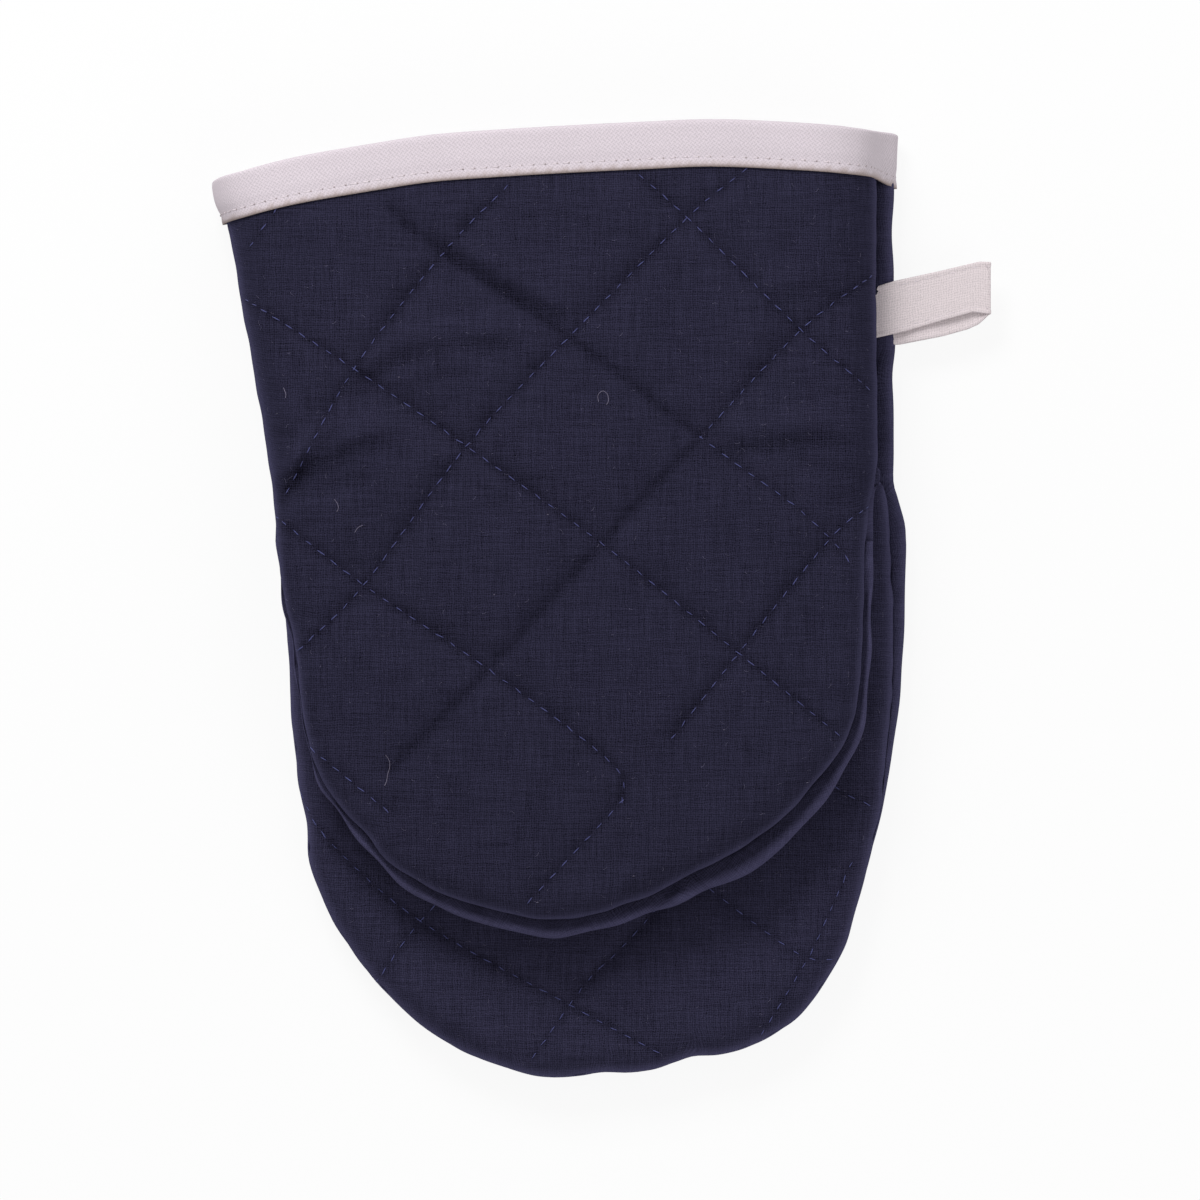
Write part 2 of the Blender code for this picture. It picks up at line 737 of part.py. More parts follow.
def build_cuff_front(collection, fabrics):
    """The front of the cuff, an arch from side seam to side seam that rises to the thumb."""
    jaw = jaw_outline(THUMB_OUTLINE_SHARES, THUMB_MIDDLE_SHARE, THUMB_WIDTH, THUMB_LENGTH)
    bottom = hinge_edge(1)
    low = HINGE_Y + HINGE_GAP / 2
    left = [
        mouth_corner(FRONT_MOUTH_SHARES[0]),
        *cuff_points(FRONT_LEFT_SHARES)[::-1],
        (jaw[0][0], low),
    ]
    right = [
        (jaw[-1][0], low),
        *cuff_points(FRONT_RIGHT_SHARES),
        mouth_corner(FRONT_MOUTH_SHARES[1]),
    ]
    seam = (spline(left), spline(right))
    length = path_length(seam[0])

    def make(fine):
        return Panel(
            seam,
            SIDE_ROLL,
            mouth_y,
            16,
            13 if fine else 7,
            first=first_rows(length),
            bottom=bottom,
        )

    def rise(y):
        return smoothstep((y - HINGE_Y) / CUFF_LENGTH)

    face = dict(
        up=1,
        level=lambda y: FRONT_Z + (MOUTH_Z - FRONT_Z) * rise(y),
        rim=FINGER_RIM_Z,
        reach=lambda y: SIDE_ROLL + (CUFF_ROLL - SIDE_ROLL) * rise(y),
        fade_from=((tape_edge, 1), (bottom, -1)),
        crown=CROWN,
    )
    return panel_layers("cuff_front", make, face, collection, fabrics, taped=True)


def build_loop(collection, fabrics):
    sheet = loop_sheet()
    mesh = bpy.data.meshes.new("hanging_loop")
    sheet.to_mesh(mesh)
    sheet.free()
    mesh.shade_smooth()
    loop = linked("hanging_loop", mesh, fabrics["loop"], collection)
    solid = loop.modifiers.new("thickness", "SOLIDIFY")
    solid.thickness = LOOP_TAPE
    solid.offset = 0
    return loop


def pivot(name, place, children, collection):
    """An empty on a joint's axis, which carries the pieces that turn about it."""
    empty = bpy.data.objects.new(name, None)
    empty.location = place
    collection.objects.link(empty)
    for child in children:
        child.parent = empty
        child.location = [-value for value in place]
    return empty


def main():
    clear_scene()
    collection = bpy.data.collections.new(TITLE)
    bpy.context.scene.collection.children.link(collection)
    fabrics = {
        "navy": fabric("navy_cotton", NAVY, 0.92),
        "wadding": fabric("polyester_wadding", WADDING_WHITE, 0.95),
        "lining": fabric("lining_cotton", LINING_GREY, 0.9),
        "tape": fabric("cuff_tape", TAPE_PINK, 0.85),
        "loop": fabric("loop_tape", LOOP_PINK, 0.85),
    }
    build_back(collection, fabrics)
    build_finger_palm(collection, fabrics)
    build_cuff_front(collection, fabrics)
    thumb = build_thumb_palm(collection, fabrics) + build_thumb_front(collection, fabrics)
    loop = build_loop(collection, fabrics)
    pivot("thumb_hinge", (0, HINGE_Y, HINGE_Z), thumb, collection)
    loop_top = FINGER_RIM_Z + 2 * LOOP_TAPE + LOOP_GAP
    pivot("loop_hinge", (SEAM_X, HINGE_Y + LOOP_FROM_HINGE, loop_top), [loop], collection)


main()
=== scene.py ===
"""Studio scene of a quilted oven mitt with two pockets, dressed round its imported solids.

Each panel of the mitt is a padded shell of its own: outer cloth, sewn channels, drawn-in seams
and lining. The cuff's binding, the hanging loop, the quilting thread and the lint lie on them.
Plan outlines are in millimetres, x towards the hanging loop and y towards the cuff.
"""

import logging
import math
from collections.abc import Callable, Sequence
from dataclasses import dataclass, field, replace
from enum import Enum

import bpy
import numpy as np
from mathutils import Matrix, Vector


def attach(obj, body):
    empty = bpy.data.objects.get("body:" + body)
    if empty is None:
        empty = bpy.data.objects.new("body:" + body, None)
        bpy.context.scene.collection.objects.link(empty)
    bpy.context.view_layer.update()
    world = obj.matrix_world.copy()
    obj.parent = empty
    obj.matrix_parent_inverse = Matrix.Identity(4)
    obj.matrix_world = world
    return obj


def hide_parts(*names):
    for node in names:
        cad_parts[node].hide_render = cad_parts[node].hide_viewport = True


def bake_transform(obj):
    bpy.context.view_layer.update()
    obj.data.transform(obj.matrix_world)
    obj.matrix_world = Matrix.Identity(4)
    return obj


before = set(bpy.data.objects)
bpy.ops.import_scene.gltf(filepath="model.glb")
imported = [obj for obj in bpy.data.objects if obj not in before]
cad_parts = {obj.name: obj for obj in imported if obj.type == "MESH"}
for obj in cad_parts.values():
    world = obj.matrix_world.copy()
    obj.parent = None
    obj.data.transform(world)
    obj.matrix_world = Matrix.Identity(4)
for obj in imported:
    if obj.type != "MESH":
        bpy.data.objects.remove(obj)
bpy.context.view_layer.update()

logging.basicConfig(level=logging.INFO, format="%(message)s")
LOG = logging.getLogger("oven_mitt")

MM = 0.001
Plan = Sequence[tuple[float, float]]
Height = Callable[[np.ndarray], np.ndarray]

# Sizes, in millimetres. Heights are as in the solids.
PANEL_THICKNESS = 3.9  # outer cloth, wadding and lining together
SEAM_ALLOWANCE = 7.0  # outer cloth that is turned in at the seams, before the lining starts
BINDING_DEPTH = 11.3  # how far the tape reaches down from the mouth
QUILT_BELOW_MOUTH = 12.0  # where the front's and the back's quilting starts
BINDING_ROWS = tuple(float(depth) for depth in np.linspace(0, BINDING_DEPTH, 12))
BACK_LEVEL, BACK_RIM, FINGER_RIM, FINGER_PALM = 1.0, 7.0, 7.3, 14.2
THUMB_PALM, THUMB_RIM, FRONT_RIM, FRONT_LEVEL, MOUTH_LEVEL = 21.6, 27.6, 27.4, 34.8, 29.7
HINGE_Y, CUFF_TOP = 27.9, 122.5
CROTCH_Y, FOLD_START = 33.0, 15.0
PARTING_RUN = 20.0  # the run below the crotch over which the jaws part
LOWER_JAW_TOP = 17.5  # what belongs to the lower jaw lies below this height

# Outlines, read down the left side, round the tip and up the right side.

FRONT_SEAM: Plan = (
    (-98.3, 106.6), (-97.6, 102.0), (-96.6, 98.5), (-95.4, 95.0), (-94.0, 88.1), (-92.1, 76.7),
    (-87.5, 51.1), (-83.9, 28.1),
    (-82.3, 14.1), (-80.6, 0.0), (-78.0, -10.2), (-76.4, -25.0), (-74.2, -37.0), (-71.4, -45.0),
    (-67.2, -51.4), (-63.0, -56.3), (-58.9, -60.6), (-54.0, -66.7), (-43.0, -73.6), (-32.1, -77.7),
    (-24.4, -79.5), (-16.5, -81.3), (-8.6, -81.2), (-0.1, -79.8), (6.0, -77.6), (13.4, -75.0),
    (20.3, -71.3), (30.5, -66.2), (40.8, -60.1), (47.7, -54.2), (54.3, -47.1), (60.4, -39.1),
    (64.0, -32.4), (65.5, -25.6), (66.8, -10.2), (67.3, 10.2), (68.5, 22.6), (70.2, 29.0),
    (70.9, 36.5), (70.8, 56.0), (70.6, 76.7), (70.7, 95.0), (70.9, 118.0),
)
THUMB_OUTLINE: Plan = (
    (-83.4, 20.0), (-82.0, 8.0), (-80.3, -4.0), (-78.2, -14.8), (-76.9, -24.5), (-75.0, -35.3),
    (-72.1, -46.0), (-67.7, -53.2), (-62.9, -59.4), (-56.0, -67.7), (-47.9, -74.9), (-40.0, -78.7),
    (-32.1, -82.0), (-24.4, -83.9), (-13.4, -86.1), (-6.0, -85.4), (2.0, -83.2), (10.0, -80.9),
    (17.5, -78.3), (24.6, -75.0), (32.8, -72.0), (40.8, -67.7), (48.9, -60.5), (55.8, -52.9),
    (62.0, -43.9), (66.0, -35.8), (68.1, -25.6), (68.9, -10.2), (69.3, 5.0), (69.6, 20.0),
)
FINGER_OUTLINE: Plan = (
    (-83.0, 20.0), (-81.4, 4.0), (-79.9, -14.8), (-79.2, -29.9), (-77.4, -46.2), (-75.4, -57.0),
    (-74.3, -68.2), (-68.1, -83.0), (-57.6, -97.6), (-47.9, -107.3), (-36.2, -115.2),
    (-20.3, -121.1), (-12.6, -122.3), (-5.0, -121.9), (0.9, -121.0), (6.8, -121.1), (13.4, -120.3),
    (19.0, -118.6), (24.0, -116.8), (30.5, -116.5), (37.4, -114.7), (44.1, -111.4), (51.0, -106.5),
    (56.8, -99.1), (62.0, -90.2), (65.3, -80.0), (68.6, -67.7), (72.4, -52.9), (75.0, -37.8),
    (76.4, -28.0), (77.2, -19.4), (77.9, -5.1), (78.3, 11.2), (78.2, 16.0), (77.9, 20.0),
)
BACK_CUFF_LEFT: Plan = (
    (-97.9, 106.7), (-97.2, 102.0), (-96.2, 98.5), (-94.6, 92.0), (-91.4, 76.7), (-86.8, 51.1),
    (-83.9, 30.0),
)
BACK_CUFF_RIGHT: Plan = (
    (76.4, 26.0), (75.0, 31.5), (75.3, 44.7), (74.8, 56.2), (75.5, 64.0), (75.4, 72.0),
    (75.0, 85.2), (74.9, 96.5), (75.2, 108.0), (75.5, 118.6),
)

# The finger pocket's upper panel, whose seam lies inside the back's border on the right.
FINGER_PALM_OUTLINE: Plan = (
    *FINGER_OUTLINE[:-8], (72.0, -52.9), (73.5, -37.8), (74.6, -28.0), (75.1, -19.4), (75.2, -5.1),
    (74.6, 11.2), (74.2, 16.0), (73.8, 20.0),
)
BACK_OUTLINE: Plan = (*BACK_CUFF_LEFT, *FINGER_OUTLINE, *BACK_CUFF_RIGHT)

# The mouth of the cuff, inside the fold of its binding.
MOUTH: Plan = (
    (-105.0, 104.0), (-99.0, 106.4), (-90.0, 109.0), (-76.8, 112.2), (-60.0, 115.1),
    (-43.6, 117.6), (-27.0, 118.9), (-10.3, 119.9), (10.0, 120.9), (29.3, 121.6), (51.0, 120.7),
    (64.0, 119.7), (75.2, 118.8), (82.0, 118.2),
)


class Thread(Enum):
    """How a quilted line shows: sewn with thread, or only a crease in the padding."""

    SEWN = "sewn"
    CREASE = "crease"


@dataclass(frozen=True)
class Channel:
    """One quilted line, drawn into the padding along a path in plan."""

    points: Plan
    thread: Thread = Thread.SEWN
    depth: float = 1.0


FRONT_CHANNELS: tuple[Channel, ...] = (
    Channel(((-90.1, 76.4), (-62.7, 58.8), (-34.1, 39.1), (0.4, 14.3), (35.1, -13.5), (60.2, -34.0))),
    Channel(((-83.2, 21.7), (-60.2, 3.8), (-28.5, -17.6), (2.9, -41.6), (5.5, -51.1))),
    Channel(((7.3, 110.4), (22.1, 97.3), (51.0, 68.7), (68.1, 53.9)), depth=0.8),
    Channel(((-53.5, 99.9), (-41.5, 89.4), (-8.0, 66.9), (25.4, 41.4)), Thread.CREASE, 1.1),
    Channel(((25.4, 41.4), (36.7, 33.0), (48.9, 24.3), (58.4, 15.6), (62.7, 10.5)), depth=0.7),
    Channel(((-75.2, -36.5), (-54.5, -53.4)), depth=0.7),
    Channel(((36.7, 109.4), (22.1, 97.3), (-8.0, 66.9), (-34.1, 39.1), (-60.2, 3.8), (-76.3, -12.3))),
    Channel(((68.9, 82.5), (51.0, 68.7), (25.4, 41.4))),
    Channel(((25.4, 41.4), (0.4, 14.3), (-28.5, -17.6), (-53.5, -43.4)), Thread.CREASE, 1.1),
    Channel(((-24.1, 105.0), (-39.7, 88.7), (-62.7, 58.8), (-79.6, 27.8))),
    Channel(((68.9, 24.3), (58.4, 15.6), (35.1, -13.5), (18.5, -34.7))),
    Channel(((5.5, -51.1), (-18.0, -76.4)), depth=0.6),
    Channel(((-82.7, 99.4), (-88.8, 90.7)), depth=0.5),
)
FINGER_CHANNELS: tuple[Channel, ...] = (
    Channel(((-76.5, -50.0), (-70.0, -61.0), (-46.6, -81.8), (-6.8, -104.2), (14.2, -115.5))),
    Channel(((-20.0, -56.0), (-44.8, -80.7), (-57.1, -97.3)), depth=0.8),
    Channel(((40.0, -50.0), (7.3, -86.9), (-3.2, -97.3), (-17.0, -116.5))),
    Channel(((64.0, -67.7), (55.1, -87.6), (53.0, -91.7), (46.1, -103.2), (41.5, -110.6)), depth=0.7),
    Channel(((10.0, -60.0), (47.7, -88.7), (58.4, -92.0)), depth=0.7),
    Channel(((44.0, -34.0), (60.4, -48.0), (68.1, -52.1)), depth=0.7),
)


def inside(plan: np.ndarray, outline: np.ndarray) -> np.ndarray:
    """Whether plan points lie inside a closed outline.

    Args:
        plan: Plan points.
        outline: The outline's points.

    Returns:
        One answer a point.
    """
    x, y = plan[:, :1], plan[:, 1:]
    a, b = outline, np.roll(outline, -1, axis=0)
    spans = (a[:, 1] > y) != (b[:, 1] > y)
    rise = np.where(b[:, 1] == a[:, 1], 1e-9, b[:, 1] - a[:, 1])
    crossing = a[:, 0] + (y - a[:, 1]) / rise * (b[:, 0] - a[:, 0])
    return (spans & (x < crossing)).sum(1) % 2 == 1


# The back's quilting: for each direction its pitch, its angle in degrees and where it starts.
DIAMOND_ROWS = ((40.8, 54.3, 8.6), (40.4, -41.3, -5.8))


def diamond_channels(outline: Plan, top: float, margin: float) -> tuple[Channel, ...]:
    """Straight channels in two directions, cut to a panel.

    Args:
        outline: The panel's outline.
        top: The y that the channels stop at.
        margin: How far inside the outline they stop.

    Returns:
        The channels.
    """
    route = Route(curve_through(outline))
    made = []
    for pitch, degrees, start in DIAMOND_ROWS:
        angle = math.radians(degrees)
        across = np.array([math.cos(angle), math.sin(angle)])
        along = np.array([-across[1], across[0]])
        for number in range(-5, 6):
            line = across * (start + number * pitch) + along * np.linspace(-170, 170, 681)[:, None]
            kept = inside(line, route.points) & (line[:, 1] < top)
            kept[kept] = route.distance(line[kept]) > margin
            if kept.sum() > 20:
                first, last = line[kept][0], line[kept][-1]
                made.append(Channel((tuple(first), tuple((first + last) / 2), tuple(last))))
    return tuple(made)


def smoothstep(value: np.ndarray | float) -> np.ndarray:
    """Eases a value from 0 to 1.

    Args:
        value: Position between the two ends, held to 0 and 1 outside them.

    Returns:
        The eased value.
    """
    held = np.clip(value, 0, 1)
    return held * held * (3 - 2 * held)


def curve_through(points: Plan, steps: int = 8) -> np.ndarray:
    """Draws a smooth curve through plan points.

    Args:
        points: The points, in order.
        steps: How many pieces lie between two points.

    Returns:
        The curve's points, one row each.
    """
    known = np.array(points, float)
    ends = 2 * known[[0, -1]] - known[[1, -2]]
    known = np.vstack([ends[:1], known, ends[1:]])
    share = np.linspace(0, 1, steps, endpoint=False)[:, None]
    pieces = [
        0.5
        * (
            2 * b
            + (c - a) * share
            + (2 * a - 5 * b + 4 * c - d) * share**2
            + (3 * b - a - 3 * c + d) * share**3
        )
        for a, b, c, d in zip(known, known[1:], known[2:], known[3:])
    ]
    return np.vstack([*pieces, known[-2:-1]])


def run_along(points: np.ndarray) -> np.ndarray:
    """The distance from a line's start to each of its points."""
    return np.concatenate([[0], np.cumsum(np.linalg.norm(np.diff(points, axis=0), axis=1))])


@dataclass(frozen=True)
class Route:
    """A path in plan that can be read at any share of its length."""

    points: np.ndarray

    @property
    def length(self) -> float:
        """The path's length."""
        return float(np.linalg.norm(np.diff(self.points, axis=0), axis=1).sum())

    def at(self, shares: np.ndarray) -> np.ndarray:
        """Reads points at these shares of the length.

        Args:
            shares: Shares from 0 to 1.

        Returns:
            One point a share.
        """
        run = run_along(self.points)
        return np.stack([np.interp(shares * run[-1], run, self.points[:, k]) for k in range(2)], 1)

    def inward(self, shares: np.ndarray, window: float) -> np.ndarray:
        """Unit normals to the left of the path, smoothed over a window.

        Args:
            shares: Shares from 0 to 1.
            window: Half the length of path that each normal looks at.

        Returns:
            One normal a share.
        """
        step = window / self.length
        run = self.at(np.clip(shares + step, 0, 1)) - self.at(np.clip(shares - step, 0, 1))
        run /= np.linalg.norm(run, axis=1)[:, None]
        return np.stack([-run[:, 1], run[:, 0]], axis=1)

    def place(self, plan: np.ndarray) -> np.ndarray:
        """Where plan points lie along the path and beside it.

        Args:
            plan: Plan points.

        Returns:
            For each point its run along the path and its distance to the left, less than 0 to the right.
        """
        a, b = self.points[:-1], self.points[1:]
        run = b - a
        length = np.maximum(np.linalg.norm(run, axis=1), 1e-6)
        start = np.cumsum(length) - length
        found = []
        for part in np.array_split(plan, max(1, len(plan) // 3000)):
            off = part[:, None] - a
            held = np.clip((off * run).sum(2) / length**2, 0, 1)
            gap = off - held[..., None] * run
            away = np.linalg.norm(gap, axis=2)
            best, row = away.argmin(1), np.arange(len(part))
            turn = run[best, 0] * gap[row, best, 1] - run[best, 1] * gap[row, best, 0]
            along = start[best] + held[row, best] * length[best]
            found.append(np.column_stack([along, away[row, best] * np.where(turn < 0, -1, 1)]))
        return np.vstack(found)

    def distance(self, plan: np.ndarray) -> np.ndarray:
        """Distance of each plan point from the path."""
        return np.abs(self.place(plan)[:, 1])

    def cut_above(self, y: float) -> "Route":
        """The part of the path below this y, where both its ends lie above it."""
        low = np.flatnonzero(self.points[:, 1] < y)
        ends = []
        for a, b in ((low[0] - 1, low[0]), (low[-1], low[-1] + 1)):
            a, b = self.points[a], self.points[b]
            ends.append(a + (b - a) * (y - a[1]) / (b[1] - a[1]))
        return Route(np.vstack([ends[:1], self.points[low[0] : low[-1] + 1], ends[1:]]))


MOUTH_CURVE = curve_through(MOUTH)


def mouth_y(x: np.ndarray) -> np.ndarray:
    """The y of the cloth's edge at the mouth of the cuff, at these x."""
    return np.interp(x, MOUTH_CURVE[:, 0], MOUTH_CURVE[:, 1])


def constant(value: float) -> Height:
    """A height, a reach or an edge that is the same everywhere."""
    return lambda place: np.full(np.shape(place), value, float)


@dataclass
class Ripples:
    """Gentle unevenness of stuffed cloth, the same on every run."""

    seed: int
    height: float = 0.28
    longest: float = 34.0
    shortest: float = 9.0
    waves: int = 26

    def at(self, plan: np.ndarray) -> np.ndarray:
        """Height of the unevenness at plan points.

        Args:
            plan: Plan points.

        Returns:
            Heights about 0.
        """
        draw = np.random.default_rng(self.seed)
        total = np.zeros(len(plan))
        for _ in range(self.waves):
            turn, phase = draw.uniform(0, math.tau, 2)
            long = self.shortest * (self.longest / self.shortest) ** draw.uniform()
            across = plan @ np.array([math.cos(turn), math.sin(turn)])
            total += np.sin(across * math.tau / long + phase) * (long / self.longest)
        return total * self.height / math.sqrt(self.waves) * 2


def wavering(run: np.ndarray, draw: np.random.Generator, shortest: float, longest: float) -> np.ndarray:
    """An uneven wave along a run.

    Args:
        run: Distances along it, in millimetres.
        draw: Where its random numbers come from.
        shortest: Its shortest wave.
        longest: Its longest wave.

    Returns:
        Values about 0, mostly between -1 and 1.
    """
    total = np.zeros(len(run))
    for _ in range(5):
        long, phase = draw.uniform(shortest, longest), draw.uniform(0, math.tau)
        total += np.sin(run * math.tau / long + phase)
    return total / 2.4


@dataclass
class Quilting:
    """The puffs between sewn channels, and the puckers beside them."""

    channels: tuple[Channel, ...]
    puff: float = 1.5
    spread: float = 4.6
    pucker: float = 0.2
    notch: float = 0.35
    seed: int = 40

    def nearness(self, plan: np.ndarray) -> np.ndarray:
        """How close each plan point lies to a channel, 1 on it and 0 away from it."""
        close = np.zeros(len(plan))
        for channel in self.channels:
            away = Route(curve_through(channel.points)).distance(plan)
            close = np.maximum(close, channel.depth * np.exp(-((away / 1.1) ** 2)))
        return np.clip(close, 0, 1)

    def at(self, plan: np.ndarray) -> np.ndarray:
        """Height of the puffs over the channels.

        Args:
            plan: Plan points.

        Returns:
            Heights from about 0 in a channel to the full puff.
        """
        total, puckers = np.ones(len(plan)), np.zeros(len(plan))
        for number, channel in enumerate(self.channels):
            along, across = Route(curve_through(channel.points)).place(plan).T
            away = np.abs(across)
            eased = np.sqrt(away * away + 0.16) - 0.4
            total *= 1 - channel.depth * np.exp(-eased / self.spread)
            wave = wavering(along + 0.5 * across, np.random.default_rng(self.seed + number), 4.5, 12.0)
            puckers += channel.depth * self.pucker * wave * np.exp(-away / 4.5) * (1 - np.exp(-away / 1.2))
            puckers -= channel.depth * self.notch * np.exp(-((away / 0.9) ** 2))
        return self.puff * np.clip(total, -0.2, 1) + puckers


@dataclass(frozen=True)
class Wrinkle:
    """A crease of slack cloth: a valley along a path, with a soft ridge beside it."""

    points: Plan
    depth: float = 0.9
    width: float = 2.4
    ridge: float = 0.5
    ridge_off: float = 4.5

    def at(self, plan: np.ndarray) -> np.ndarray:
        """Height of the crease at plan points.

        Args:
            plan: Plan points.

        Returns:
            Heights, less than 0 in the valley.
        """
        route = Route(curve_through(self.points))
        along, across = route.place(plan).T
        ends = smoothstep(along / 9 + 0.15) * smoothstep((route.length - along) / 9 + 0.15)
        valley = np.exp(-((across / self.width) ** 2))
        ridge = np.exp(-(((across - self.ridge_off) / (1.3 * self.width)) ** 2))
        return self.depth * ends * (self.ridge * ridge - valley)

    def shade(self, plan: np.ndarray) -> np.ndarray:
        """Painted shade in the valley at plan points: how much the tone darkens there, less than 0 where a
        painted highlight lightens the ridge.
        """
        return np.clip(-self.at(plan) * 0.9, -0.35, 1)


FRONT_WRINKLES: tuple[Wrinkle, ...] = (
    Wrinkle(((-66.0, 50.0), (-57.0, 57.8), (-47.9, 62.6), (-33.0, 64.9), (-19.0, 65.4)), 0.9, 2.4, 0.5, 5.0),
    Wrinkle(((-52.0, 53.0), (-40.0, 57.0), (-27.0, 58.5)), 0.4, 2.0, 0.4, 4.0),
    Wrinkle(((-44.0, 93.5), (-38.2, 88.4), (-28.0, 81.6), (-17.5, 75.1), (-6.3, 70.0)), 0.9, 1.9, 0.35, 4.2),
    Wrinkle(((-88.0, 24.8), (-80.0, 29.8), (-70.4, 34.2), (-61.0, 38.4), (-50.8, 40.6)), 1.5, 2.6, 0.5, 5.4),
    Wrinkle(((-84.5, 25.0), (-76.0, 27.6), (-66.0, 29.8), (-56.0, 33.0)), 0.5, 1.9, 0.7, -4.2),
    Wrinkle(((-80.5, 25.5), (-76.0, 31.5), (-71.0, 38.8), (-65.5, 46.5)), 1.0, 1.8, 0.9, 3.4),
    Wrinkle(((30.0, 37.2), (41.8, 39.2), (55.0, 40.6), (66.0, 38.6)), 1.1, 2.7, 0.5, 5.5),
    Wrinkle(((50.0, 34.0), (60.0, 33.6), (69.5, 30.0)), 0.4, 1.8, 0.5, 4.0),
    Wrinkle(((-50.5, -45.0), (-53.5, -54.0), (-54.5, -60.0)), 0.5, 1.6, 0.4, 3.4),
    Wrinkle(((38.0, 75.0), (52.0, 78.5), (66.0, 77.5)), 0.35, 2.4, 0.5, 4.4),
    Wrinkle(((-86.0, 70.0), (-80.0, 63.0), (-76.0, 55.0)), 0.4, 2.2, 0.5, 4.4),
)


@dataclass
class Shell:
    """Points and faces of a padded shell while it is built, in millimetres."""

    points: np.ndarray
    faces: list[tuple[int, ...]]
    cloth: np.ndarray
    plain: np.ndarray = field(default_factory=lambda: np.zeros((0, 3)))
    lining: dict[int, int] = field(default_factory=dict)
    edge: np.ndarray = field(default_factory=lambda: np.zeros(0))


